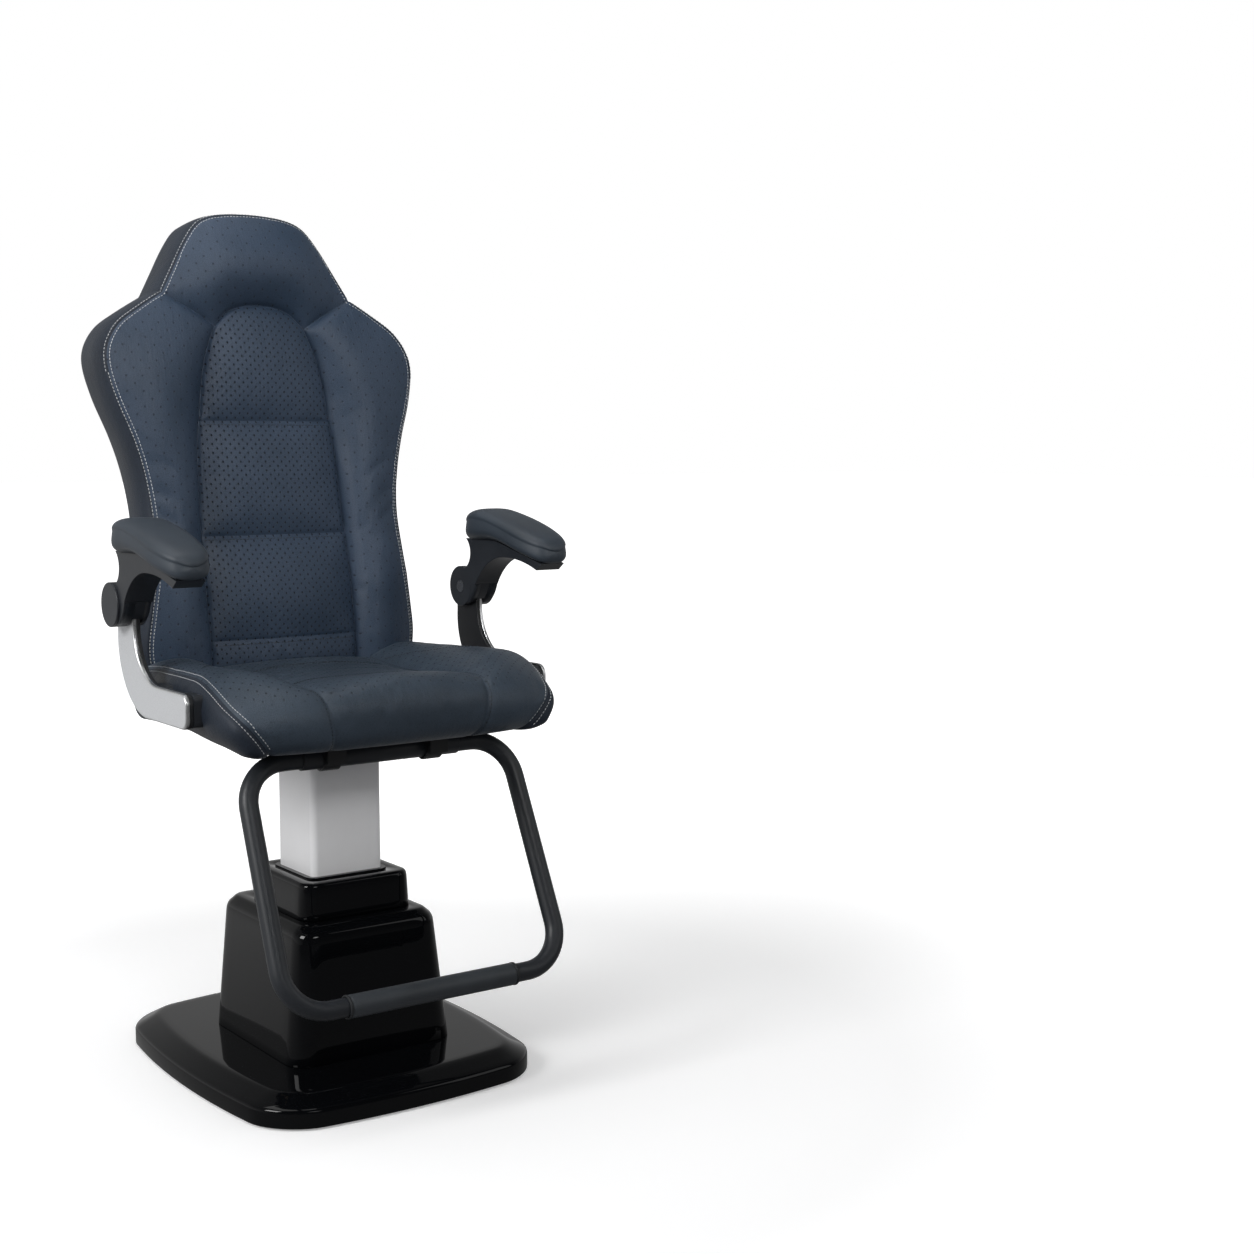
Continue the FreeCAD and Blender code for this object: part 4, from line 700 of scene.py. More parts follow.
def stacked(name, loops, materials, capped=False):
    """A closed shell through level outlines: (outline, height) pairs whose last joins the first.

    With capped, the first and the last outline are each closed by a flat face instead.
    """
    bm = bmesh.new()
    ring = first = round_disc(bm, len(loops[0][0]), False)
    edges = list(bm.edges)
    for number, (outline, height) in enumerate(loops):
        if number:
            ring, edges = extrude_ring(bm, ring, edges)
        for vert, (x, y) in zip(ring, outline):
            vert.co = (x, y, height * MM)
    start = [e for e in bm.edges if e.is_boundary and all(v in first for v in e.verts)]
    if capped:
        for rim in (start, edges):
            bmesh.ops.contextual_create(bm, geom=rim)
    else:
        bmesh.ops.bridge_loops(bm, edges=start + edges)
    tidy_bmesh(bm)
    return finish_mesh(name, bm, materials)


# --- base, pedestal and column

HOUSING_FOOT, HOUSING_RISE = 46.0, 193.0


def base_loop(inset):
    return rounded_loop(222 - inset, 260 - inset, 300 - inset, 70 - inset, 26, 20)


def housing_loop(shrink, level, inset):
    """Outline of the pedestal housing at a share of its height, moved in by inset."""
    half = 137 + (118 - 137) * level - inset
    front = 147 + (137 - 147) * level - inset
    rear = 155 + (156 - 155) * level - inset
    return rounded_loop(half, front, rear, max(34 - shrink, 3))


def collar_loop(draw):
    return rounded_loop(94 - draw, 100 - draw, 100 - draw, max(28 - draw, 3))


def levels(outline, *rows):
    """(outline, height) pairs: each row holds what the outline takes and then its height in mm."""
    return [(outline(*row[:-1]), row[-1]) for row in rows]


def make_base():
    """The glossy cover, the tapered housing and the collar."""
    cover = levels(
        base_loop, (3.0, 3.0), (1.2, 3.0), (0.3, 3.8), (0.0, 5.5), (0.0, 14.0), (0.0, 24.5), (0.5, 27.2),
        (1.8, 29.4), (4.2, 31.3), (10.0, 34.3), (18.0, 38.6), (25.0, 42.4), (29.0, 44.4), (32.5, 45.6),
        (37.0, 46.0), (46.0, 46.0),
    )
    cover += levels(housing_loop, (0, 0, 10.0, 46.0), (4, 0, 20.0, 46.0), (4, 0, 20.0, 43.0))
    cover += levels(base_loop, (34.0, 43.0), (6.0, 28.0), (3.0, 26.0))
    housing = levels(housing_loop, (3, 0.0, 3.0, 46.0), (0, 0.0, 0.4, 46.0))
    for z, inset in ((47.2, 0.0), (60.0, 0.0), (120.0, 0.0), (180.0, 0.0), (226.0, 0.0), (234.0, 0.2)):
        housing.append((housing_loop(0, (z - HOUSING_FOOT) / HOUSING_RISE, inset), z))
    housing += levels(
        housing_loop, (0, 1.0, 1.2, 239.0), (2, 1.0, 3.6, 242.6), (4, 1.0, 7.4, 246.2), (8, 1.0, 11.0, 249.4),
        (10, 1.0, 13.6, 251.2), (14, 1.0, 17.0, 252.0), (18, 1.0, 24.0, 252.0),
    )
    housing += levels(rounded_loop, (86, 92, 92, 20, 252.0), (84, 90, 90, 18, 251.0), (84, 90, 90, 18, 249.0))
    housing += levels(housing_loop, (10, 1.0, 14.0, 247.0), (4, 1.0, 4.0, 236.0))
    collar = levels(
        collar_loop, (3.0, 252.0), (0.6, 252.0), (0.0, 253.0), (0.6, 264.0), (1.6, 285.0), (2.5, 299.0),
        (3.1, 303.0), (4.4, 305.6), (6.4, 307.2), (9.0, 308.0), (14.0, 308.0),
    )
    collar += levels(
        rounded_loop, (69.2, 69.2, 69.2, 18.5, 308.0), (68.2, 68.2, 68.2, 18.2, 307.4),
        (68.2, 68.2, 68.2, 18.2, 304.0),
    )
    collar += levels(collar_loop, (9.0, 303.0), (6.0, 299.0))
    for node, loops in (("base_cover", cover), ("pedestal_housing", housing), ("pedestal_collar", collar)):
        declare(stacked(f"{node}_shell", loops, ["gloss_black"]), "gloss_black", "base", node)


BAR_END, BAR_TOP = 0.186, 0.525
BAR_LOW_END = 0.150


def make_cross_bars():
    """The bars under the seat, their ends cut to a slope."""
    bm = opened(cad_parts["seat_cross_bars"])
    tidy_bmesh(bm, 0.00002)
    for vert in bm.verts:
        if abs(vert.co.x) > 0.19:
            vert.co.x = math.copysign(BAR_END if vert.co.z > BAR_TOP else BAR_LOW_END, vert.co.x)
    bm.normal_update()
    declare(finish_mesh("seat_cross_bars_cut", bm, ["steel_black"], 30), "steel_black", "seat", "seat_cross_bars")


# --- footrest


def swept_tube(name, corners, bend, radius, material):
    """Round tube along straight runs with a circular bend at each inner corner."""
    curve = bpy.data.curves.new(name, "CURVE")
    curve.dimensions = "3D"
    points = [Vector(c) * MM for c in corners]
    knots = [(points[0], None, None)]
    for before, corner, after in zip(points, points[1:], points[2:]):
        back, ahead = (before - corner).normalized(), (after - corner).normalized()
        half_angle = back.angle(ahead) / 2
        reach = bend * MM / math.tan(half_angle)
        turn = math.pi - 2 * half_angle
        handle = 4 / 3 * math.tan(turn / 4) * bend * MM
        knots.append((corner + back * reach, None, corner + back * (reach - handle)))
        knots.append((corner + ahead * reach, corner + ahead * (reach - handle), None))
    knots.append((points[-1], None, None))
    spline = curve.splines.new("BEZIER")
    spline.bezier_points.add(len(knots) - 1)
    for index, (spot, left, right) in enumerate(knots):
        knot = spline.bezier_points[index]
        knot.handle_left_type = knot.handle_right_type = "FREE"
        knot.co = spot
        before = knots[index - 1][0] if index else spot
        after = knots[index + 1][0] if index + 1 < len(knots) else spot
        knot.handle_left = left if left is not None else spot + (before - spot) / 3
        knot.handle_right = right if right is not None else spot + (after - spot) / 3
    spline.resolution_u = 14
    curve.bevel_depth = radius * MM
    curve.bevel_resolution = 6
    curve.use_fill_caps = True
    holder = bpy.data.objects.new(name + "_line", curve)
    bpy.context.scene.collection.objects.link(holder)
    mesh = bpy.data.meshes.new_from_object(holder.evaluated_get(bpy.context.evaluated_depsgraph_get()))
    bpy.data.objects.remove(holder)
    bpy.data.curves.remove(curve)
    mesh.name = name
    mesh.materials.clear()
    return show(name, mesh, [material])


def spin_line(bm, points, centre, angle, steps, merge):
    """Turns a closed line of points in mm about a line along X. Returns its first edges and the last ring."""
    verts = [bm.verts.new((x * MM, y * MM, z * MM)) for x, y, z in points]
    edges = [bm.edges.new((a, b)) for a, b in zip(verts, verts[1:] + verts[:1])]
    cy, cz = centre
    turned = bmesh.ops.spin(
        bm, geom=verts + edges, cent=(0, cy * MM, cz * MM), axis=(1, 0, 0), angle=angle, steps=steps, use_merge=merge
    )["geom_last"]
    return edges, turned


def turned_part(name, profile, centre, material):
    """A ring turned about a line along X: profile is a closed list of (x, radius)."""
    bm = bmesh.new()
    cy, cz = centre
    spin_line(bm, [(x, cy, cz + r) for x, r in profile], centre, 2 * math.pi, 40, True)
    tidy_bmesh(bm)
    return finish_mesh(name, bm, [material])


def make_straps(y, z):
    """Clamp straps under the footrest's top bar, with their flanges and bolts."""
    straps, bolts = bmesh.new(), bmesh.new()
    for x in (-85, 85):
        profile = [(-14, 16.2), (-14, 18.2), (-13.4, 18.8), (13.4, 18.8), (14, 18.2), (14, 16.2)]
        line = [(x + along, y + r, z - 1.2) for along, r in profile]
        edges, turned = spin_line(straps, line, (y, z - 1.2), -math.pi, 24, False)
        for rim in (edges, [g for g in turned if isinstance(g, bmesh.types.BMEdge)]):
            bmesh.ops.contextual_create(straps, geom=rim)
        for way in (-1, 1):
            size = Matrix.Diagonal((0.028, 0.0115, 0.0030, 1.0))
            spot = Matrix.Translation(Vector((x, y + way * 24, z - 2.6)) * MM)
            plate = bmesh.ops.create_cube(straps, size=1.0, matrix=spot @ size)["verts"]
            bevel(straps, list({e for v in plate for e in v.link_edges}), 0.0007, 2)
            head = Matrix.Translation(Vector((x, y + way * 24, z - 5.8)) * MM)
            made = bmesh.ops.create_cone(
                bolts, cap_ends=True, segments=6, radius1=0.0048, radius2=0.0050, depth=0.0036, matrix=head
            )["verts"]
            bevel(bolts, list({e for v in made for e in v.link_edges}), 0.0004, 2)
    for name, bm, node in (
        ("footrest_clamp_straps", straps, "footrest_clamp_caps"),
        ("footrest_clamp_bolts", bolts, "footrest_bolts"),
    ):
        tidy_bmesh(bm, 0.00001)
        declare(finish_mesh(name, bm, ["steel_black"], 32), BODY_SLOTS[node], "seat", node)


def make_footrest():
    """The bent loop with its sleeve, clamps, grip and grip rings."""
    top, low = (-165.0, 513.0), (-314.0, 186.0)
    corners = [(-6, *top), (-220, *top), (-228, *low), (228, *low), (220, *top), (6, *top)]
    tube = swept_tube("footrest_loop", corners, 64, 14, "tube_black")
    declare(tube, "tube_black", "seat", "footrest_tube")
    profile = [(-130, 14.2), (-130, 15.4), (-129.2, 16.1), (129.2, 16.1), (130, 15.4), (130, 14.2)]
    sleeve = turned_part("footrest_sleeve_tube", profile, top, "tube_black")
    make_straps(*top)
    declare(sleeve, "tube_black", "seat", "footrest_sleeve")
    profile = [(-135, 14.1), (-135, 15.8), (-134.2, 16.6)]
    profile += [(x, 16.6) for x in range(-130, 131, 10)]
    profile += [(134.2, 16.6), (135, 15.8), (135, 14.1)]
    # Its grip_rubber colour is painted light: the tube's colour, lightened.
    grip = turned_part("footrest_grip_sleeve", profile, low, "grip_rubber")
    declare(grip, "rubber_black", "seat", "footrest_grip")
    for side, x in (("right", -139.0), ("left", 135.0)):
        profile = [(x, 14.1), (x, 16.4), (x + 0.7, 17.1), (x + 3.3, 17.1), (x + 4, 16.4), (x + 4, 14.1)]
        ring = turned_part(f"{side}_grip_ring", profile, low, "rubber_black")
        declare(ring, "steel_zinc", "seat", "footrest_grip_rings")


# --- rounded copies of CAD nodes


def merged_copy(node_name):
    """A copy of a CAD node's mesh with merged corners."""
    bm = opened(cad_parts[node_name])
    bmesh.ops.remove_doubles(bm, verts=bm.verts, dist=0.00002)
    return bm


def softened_copy(node_name, width, segments, angle, choose):
    """A copy of a CAD node whose chosen rims over an angle are rounded."""
    bm = merged_copy(node_name)
    bmesh.ops.dissolve_limit(
        bm, angle_limit=math.radians(1.0), use_dissolve_boundaries=False, verts=bm.verts, edges=bm.edges
    )
    bm.normal_update()
    rims = [
        e for e in bm.edges if len(e.link_faces) == 2 and e.calc_face_angle(0.0) > math.radians(angle) and choose(e)
    ]
    bevel(bm, rims, width, segments, True)
    bm.normal_update()
    return bm


def plate_outline(node_name, radius=17.0, count=300):
    """The (y, z) outline in mm of a bracket's outer face, its two front corners rounded."""
    bm = merged_copy(node_name)
    other = [f for f in bm.faces if any(abs(v.co.x) < 0.2999 for v in f.verts)]
    bmesh.ops.delete(bm, geom=other, context="FACES")
    ring, _ = closed_boundary(bm, min((v for v in bm.verts if v.is_boundary), key=lambda v: v.co.y))
    rough = [(v.co.y / MM, v.co.z / MM, 0.0) for v in ring]
    bm.free()
    fine = resample(rough + rough[:1], 0.8)
    edge = fine[:, 0].min()
    cut = fine[:, 0] < edge + radius
    last_cut = int(np.argmax(cut & ~np.roll(cut, -1)))
    fine, cut = np.roll(fine, -last_cut - 1, axis=0), np.roll(cut, -last_cut - 1)
    kept = fine[~cut]
    turn = np.radians(np.linspace(0, 90, 14))
    arcs = []
    for here, there in ((kept[-1], kept[0]), (kept[0], kept[-1])):
        way = np.sign(here[1] - there[1])
        level = here[1] - way * radius * (1 - np.cos(turn))
        arcs.append(np.stack([edge + radius * (1 - np.sin(turn)), level, 0 * turn], axis=1))
    whole = np.concatenate([kept, arcs[0], arcs[1][::-1], kept[:1]])
    run = run_length(whole)
    return read_at(np.arange(count) * run[-1] / count, run, whole)[:, :2]


def drawn_in(outline, distance):
    """The closed outline moved inwards by a distance."""
    along = np.roll(outline, -1, axis=0) - np.roll(outline, 1, axis=0)
    along /= np.linalg.norm(along, axis=1, keepdims=True)
    inward = np.stack([-along[:, 1], along[:, 0]], axis=1)
    area = np.sum(outline[:, 0] * np.roll(outline[:, 1], -1) - np.roll(outline[:, 0], -1) * outline[:, 1])
    return outline + inward * distance * np.sign(area)


BRACKET_LEVELS = (
    (1.2, 288.0), (0.3, 288.4), (0.0, 289.2), (0.0, 293.2), (0.5, 293.6), (1.1, 293.8), (1.1, 294.0), (0.5, 294.2),
    (0.0, 294.6), (0.0, 297.0), (0.35, 298.2), (1.0, 299.1), (1.9, 299.7), (3.0, 300.0),
)
# Faces nearer the middle than this are painted black: painted shade beside the bracket's bright rim.
PAINTED_SHADE_EDGE = 0.2939


def make_brackets():
    """Silver plates with bright rounded rims; the faces of each plate's inner half are black, as painted shade beside
    the rim.
    """
    for name, side in (("right", -1), ("left", 1)):
        outline = plate_outline(f"{name}_bracket")
        loops = [(drawn_in(outline, inset) * MM, x) for inset, x in BRACKET_LEVELS]
        obj = stacked(f"{name}_bracket_plate", loops, ["paint_silver", "silver_edge", "steel_black"], capped=True)
        for vert in obj.data.vertices:
            y, z, x = vert.co
            vert.co = (side * x, y, z)
        if side < 0:
            obj.data.flip_normals()
        for face in obj.data.polygons:
            # Painted shade: the inner half of the plate is black.
            if abs(face.center.x) < PAINTED_SHADE_EDGE:
                face.material_index = 2
            elif abs(face.normal.x) < 0.97:
                face.material_index = 1
        obj.data.set_sharp_from_angle(angle=math.radians(50))
        weigh_normals(obj)
        declare(obj, "paint_silver", "seat", f"{name}_bracket")


# --- back cushion

BACK_OUTER = [
    (196, 584), (222, 612), (229, 650), (224, 700), (218, 745), (214, 790), (211, 850), (215, 900), (222, 940),
    (233, 980), (254, 1040), (264, 1090), (260, 1118), (240, 1150), (204, 1177), (163, 1203),
]
BACK_HEAD = [(163, 1203), (142, 1240), (114, 1288), (90, 1318), (66, 1328), (30, 1333), (0, 1334)]
BACK_INSERT = [
    (126, 577), (126, 657), (127, 740), (126, 821), (122, 900), (119, 960), (112, 1010), (106, 1060), (95, 1110),
    (78, 1154),
]
BACK_ARCH = [(78, 1154), (54, 1177), (28, 1186), (0, 1189)]
BACK_FOOT = [(126, 142, 577), (162, 141, 577.5), (196, 141, 584)]
BACK_ROWS = (657, 821, 1003)
BACK_MIDDLE = 0.95
HEAD_CORNER = (0.163, 0.221, 1.203)
SEAM_DEPTH = (
    (560, 141), (640, 140), (705, 137), (751, 136), (858, 157), (896, 163), (972, 173), (1094, 196), (1205, 221),
    (1326, 245), (1340, 248),
)
INSERT_DEPTH = ((560, 142), (657, 144), (740, 158), (821, 177), (900, 189), (1003, 203), (1100, 211), (1181, 219))


def level_value(table, z):
    return float(np.interp(z, [row[0] for row in table], [row[1] for row in table]))


def rear_depth(z):
    return 202 + 0.202 * (z - 575)


def lifted(points, table):
    """(x, z) points in mm to 3-D points in metres, at the depth the table gives."""
    return np.array([(x, level_value(table, z), z) for x, z in points]) * MM


def mirror_points(points):
    flipped = np.array(points, float)
    flipped[:, 0] *= -1
    return flipped


def hump(t, skew=1.0):
    """0 at both ends and 1 between, its top moved towards the start for skew under 1."""
    return math.sin(math.pi * min(1.0, max(0.0, t)) ** skew)


def build_back_front(bm):
    """The panels that face the sitter. Returns the seam curves and the ends of the insert's rows."""
    rows = (10, 21, 23, 19)
    outer_xz = through(BACK_OUTER, sum(rows))
    outer = lifted(outer_xz, SEAM_DEPTH)
    insert_xz = through_marks(BACK_INSERT, 1, BACK_ROWS, rows)
    insert = lifted(insert_xz, INSERT_DEPTH)
    foot = through(np.array(BACK_FOOT) * MM, 11)
    foot[0], foot[-1] = insert[0], outer[0]
    notch = through(np.array([insert[-1], (0.121, 0.2175, 1.181), outer[-1]]), 11)
    notch[0], notch[-1] = insert[-1], outer[-1]
    half_arch = lifted(through(BACK_ARCH, 15), INSERT_DEPTH)
    half_arch[0] = insert[-1]
    arch = np.concatenate([mirror_points(half_arch), half_arch[::-1][1:]])
    half_head = lifted(through(BACK_HEAD, 15), SEAM_DEPTH)
    half_head[0] = outer[-1]
    head = np.concatenate([mirror_points(half_head), half_head[::-1][1:]])
    bottom = through(np.array([insert[0] * (-1, 1, 1), insert[0]]), 30)

    seams = sum(rows)
    marks = [rows[0] / seams, (rows[0] + rows[1]) / seams, (seams - rows[3]) / seams]

    def insert_shape(u, v):
        """Pillows between straight rows; only the top panel follows the arch."""
        climb = max(0.0, (v - marks[2]) / (1 - marks[2])) ** 1.4 - v
        spot = arch[round(u * (len(arch) - 1))] - arch[0]
        across = 1 - (2 * u - 1) ** 2
        ends = min(1.0, v / 0.10) * min(1.0, (1 - v) / 0.10)
        edges = [0.0] + marks + [1.0]
        pillow = 0.0
        for low, high in zip(edges, edges[1:]):
            if low <= v <= high:
                pillow = math.sin(math.pi * (v - low) / (high - low)) ** 0.7
        ahead = (9 * across * ends + 6.0 * pillow * across**0.4) * MM
        return Vector((0, climb * spot[1] - ahead, climb * spot[2]))

    def wing_shape(u, v):
        ends = min(1.0, v / 0.06) ** 0.5 * (0.35 + 0.65 * min(1.0, (1 - v) / 0.16) ** 0.6 if v < 1 else 0.0)
        return Vector((0, -25 * hump(u, 0.66) ** (0.8 if u < 0.35 else 1.3) * ends * MM, 0))

    def head_shape(u, v):
        across = max(0.0, 1 - abs(2 * u - 1) ** 2.4)
        return Vector((0, -33 * hump(v, 0.95) ** (0.85 if v < 0.48 else 1.05) * across * MM, 0))

    patch(bm, bottom, arch, mirror_points(insert), insert, insert_shape, 0)
    patch(bm, foot, notch, insert, outer, wing_shape, 1)
    flat = mirror_points
    patch(bm, flat(foot), flat(notch), flat(insert), flat(outer), wing_shape, 1)
    patch(bm, arch, head, flat(notch), notch, head_shape, 1)
    row_ends = [insert[rows[0]], insert[rows[0] + rows[1]], insert[seams - rows[3]]]
    return {"outer": outer, "foot": foot, "notch": notch, "head": head, "insert": insert, "arch": arch}, row_ends


def near_curve(curves, dist):
    """A test for points that lie on one of the curves."""
    dense = []
    for curve in curves:
        for a, b in zip(curve, curve[1:]):
            for share in (0.0, 0.5):
                dense.append(Vector(a + (b - a) * share))
        dense.append(Vector(curve[-1]))
    tree = point_tree(dense)
    return lambda place: tree.find(place)[2] < dist


def closed_boundary(bm, start=None):
    """The boundary's vertices in order round the loop that holds start, and all boundary edges."""
    edges = [e for e in bm.edges if e.is_boundary]
    start = start or edges[0].verts[0]
    ring, previous, current = [start], None, start
    while True:
        step = [e for e in current.link_edges if e.is_boundary and e is not previous][0]
        current, previous = step.other_vert(current), step
        if current is start:
            break
        ring.append(current)
    return ring, edges


GUSSET_LAYERS = 9


def make_gusset(bm):
    """The side wall from the front's rim to the flat rear, which it closes. Returns the headrest's two side seams."""
    ring, edges = closed_boundary(bm)
    count = len(ring)
    outward = []
    for index, vert in enumerate(ring):
        run = ring[(index + 1) % count].co - ring[index - 1].co
        side = Vector((run.z, 0, -run.x)).normalized()
        outward.append(-side if side.dot(vert.co - Vector((0, 0, BACK_MIDDLE))) < 0 else side)
    seam = [v.co.copy() for v in ring]
    x, y, z = HEAD_CORNER
    corners = [min(range(count), key=lambda k: (seam[k] - Vector((s * x, y, z))).length) for s in (-1, 1)]
    cross_seams = [[np.array(seam[k])] for k in corners]
    for layer in range(1, GUSSET_LAYERS + 1):
        ring, edges = extrude_ring(bm, ring, edges)
        share = (layer / GUSSET_LAYERS) ** 1.6
        for vert, begin, side in zip(ring, seam, outward):
            rear = begin - side * float(np.interp(begin.z, (1.1, 1.21), (-0.001, 0.004)))
            rear.y = rear_depth(rear.z / MM) * MM
            full = sizes().gusset_bow * float(np.interp(begin.z, (0.94, 1.06, 1.14, 1.21), (1.4, 1.0, 0.8, 0.5)))
            vert.co = begin.lerp(rear, share) + side * full * math.sin(math.pi * share**0.6)
        for line, k in zip(cross_seams, corners):
            line.append(np.array(ring[k].co))
        for face in {f for e in edges for f in e.link_faces}:
            face.material_index = 2
    bmesh.ops.recalc_face_normals(bm, faces=bm.faces)
    rear_face = bmesh.ops.contextual_create(bm, geom=edges)["faces"]
    for face in rear_face:
        face.material_index = 2
        face.smooth = True
    for thickness, depth in ((0.002, 0.0006), (0.008, 0.003)):
        bmesh.ops.inset_region(bm, faces=rear_face, thickness=thickness, depth=depth, use_even_offset=True)
    split_large(bm)
    bmesh.ops.recalc_face_normals(bm, faces=bm.faces)
    return [np.array(line) for line in cross_seams]


def make_back():
    """The back cushion: sewn panels over foam, with a gusset and rows of stitches."""
    bm = bmesh.new()
    lines, row_ends = build_back_front(bm)
    bmesh.ops.remove_doubles(bm, verts=bm.verts, dist=0.0002)
    cross_seams = make_gusset(bm)
    obj = finish_mesh("back_upholstery", bm, ["leather_insert", "leather_wing", "leather_plain"])

    held = near_curve([*lines.values(), *map(mirror_points, lines.values()), *cross_seams], 0.0015)
    pinned = {v.index for v in obj.data.vertices if held(v.co)}
    for face in obj.data.polygons:
        if face.material_index == 2:
            pinned.update(face.vertices)
        elif face.material_index == 0:
            pinned.update(k for k in face.vertices if in_row(obj.data.vertices[k].co))
    puff(obj, sorted(pinned), 3.0, 0.006)

    bm = opened(obj)
    seam_edges = []
    for edge in bm.edges:
        a, b = (v.co for v in edge.verts)
        on_insert = all(f.material_index == 0 for f in edge.link_faces)
        if (held(a) and held(b) and held((a + b) / 2)) or (on_insert and in_row(a) and in_row(b)):
            seam_edges.append(edge)
    rim = near_curve([lines["insert"], mirror_points(lines["insert"]), lines["arch"]], 0.002)
    sink_seams(obj, bm, seam_edges, sizes().seam_width, sizes().seam_depth, rim)
    declare(obj, "leatherette", "seat", "back_cushion", fill=0.75)

    surface = surface_of(obj)
    stitches = bmesh.new()
    loop = np.concatenate([mirror_points(lines["outer"]), lines["head"][1:], lines["outer"][::-1][1:]])
    for side in (lambda p: (-p.x, -0.02, (BACK_MIDDLE - p.z) * 0.4), lambda p: (0, 1, 0)):
        sew(stitches, surface, loop, side, sizes().back_row_offset)
    stitching("back_contrast_stitching", stitches, "thread")

    plain = bmesh.new()
    for x, y, z in row_ends:
        row = [Vector((along, y, z)) for along in np.linspace(-x + 0.004, x - 0.004, 40)]
        row = [surface.ray_cast(Vector((p.x, -0.5, p.z)), Vector((0, 1, 0)))[0] or p for p in row]
        sew(plain, surface, row, lambda p: (0, 0, -1), 0.008)
    stitching("back_plain_stitching", plain, "seam_thread")


def in_row(place):
    """True on one of the insert's straight cross seams."""
    return any(abs(place.z / MM - row) < 0.8 for row in BACK_ROWS)


PANEL_MARGIN = 22.0
PANEL_LOW, PANEL_HIGH = 589, 1322
PANEL_RIM = ((1.6, 2.4), (2.4, 1.3), (4.0, 0.8), (3.0, 0.2), (1.5, 0.0), (1.5, 0.0))


def make_rear_panel():
    """The padded panel on the back's rear, with a rounded rim of (inset, rise) steps in mm."""
    half = []
    for x, z in through(BACK_OUTER + BACK_HEAD[1:], 60):
        if x - PANEL_MARGIN > 2:
            half.append((x - PANEL_MARGIN, min(max(z, PANEL_LOW), PANEL_HIGH)))
    loop = half + [(0.0, 1320.0)] + [(-x, z) for x, z in reversed(half)]
    loop = through(loop + loop[:1], 150)[:-1]
    bm = bmesh.new()
    for vert, (x, z) in zip(round_disc(bm, len(loop), True), loop):
        vert.co = Vector((x, rear_depth(z) + 0.5, z)) * MM
    faces = bmesh.ops.extrude_discrete_faces(bm, faces=list(bm.faces))["faces"]
    for thickness, rise in ((0.0, 5.0),) + PANEL_RIM:
        if thickness:
            bmesh.ops.inset_region(bm, faces=faces, thickness=thickness * MM, depth=0.0, use_even_offset=True)
        for face in faces:
            for vert in face.verts:
                vert.co.y += rise * MM
    tidy_bmesh(bm)
    split_large(bm)
    obj = finish_mesh("rear_panel_cover", bm, ["leather_plain"])
    subdivide(obj)
    declare(obj, "leatherette_plain", "seat", "back_rear_panel", fill=0.3)


# --- seat cushion

SEAT_CENTRE = [
    (0, 130, 622), (0, 60, 616), (0, -20, 612), (0, -100, 614), (0, -180, 624), (0, -225, 631), (0, -252, 628),
    (0, -268, 611), (0, -273, 585), (0, -268, 556), (0, -252, 539), (0, -235, 533), (0, -205, 532),
]
SEAT_INNER = [
    (137, 130, 616), (137, 0, 608), (137, -136, 615), (136, -200, 622), (134, -240, 619), (131, -261, 603),
    (127, -268, 580), (121, -262, 553), (117, -247, 539), (114, -233, 533), (112, -205, 532),
]
SEAT_OUTER = [
    (245, 130, 626), (246, 73, 632), (255, 0, 636), (263, -80, 639), (266, -132, 638), (266, -173, 627),
    (261, -215, 606), (250, -243, 587), (230, -248, 562), (214, -240, 542), (206, -224, 534), (200, -205, 532),
]
SEAT_FOOT = [
    (219, 130, 553), (226, 90, 553), (228, 30, 551), (228, -15, 549), (228, -64, 545), (227, -128, 541),
    (221, -172, 537), (212, -198, 533), (200, -205, 532),
]
SEAT_DIAGONAL = [(0.119, 0.097, 0.625), (0.180, 0.012, 0.640), (0.232, -0.066, 0.638)]
SEAT_UNDER = 0.5325


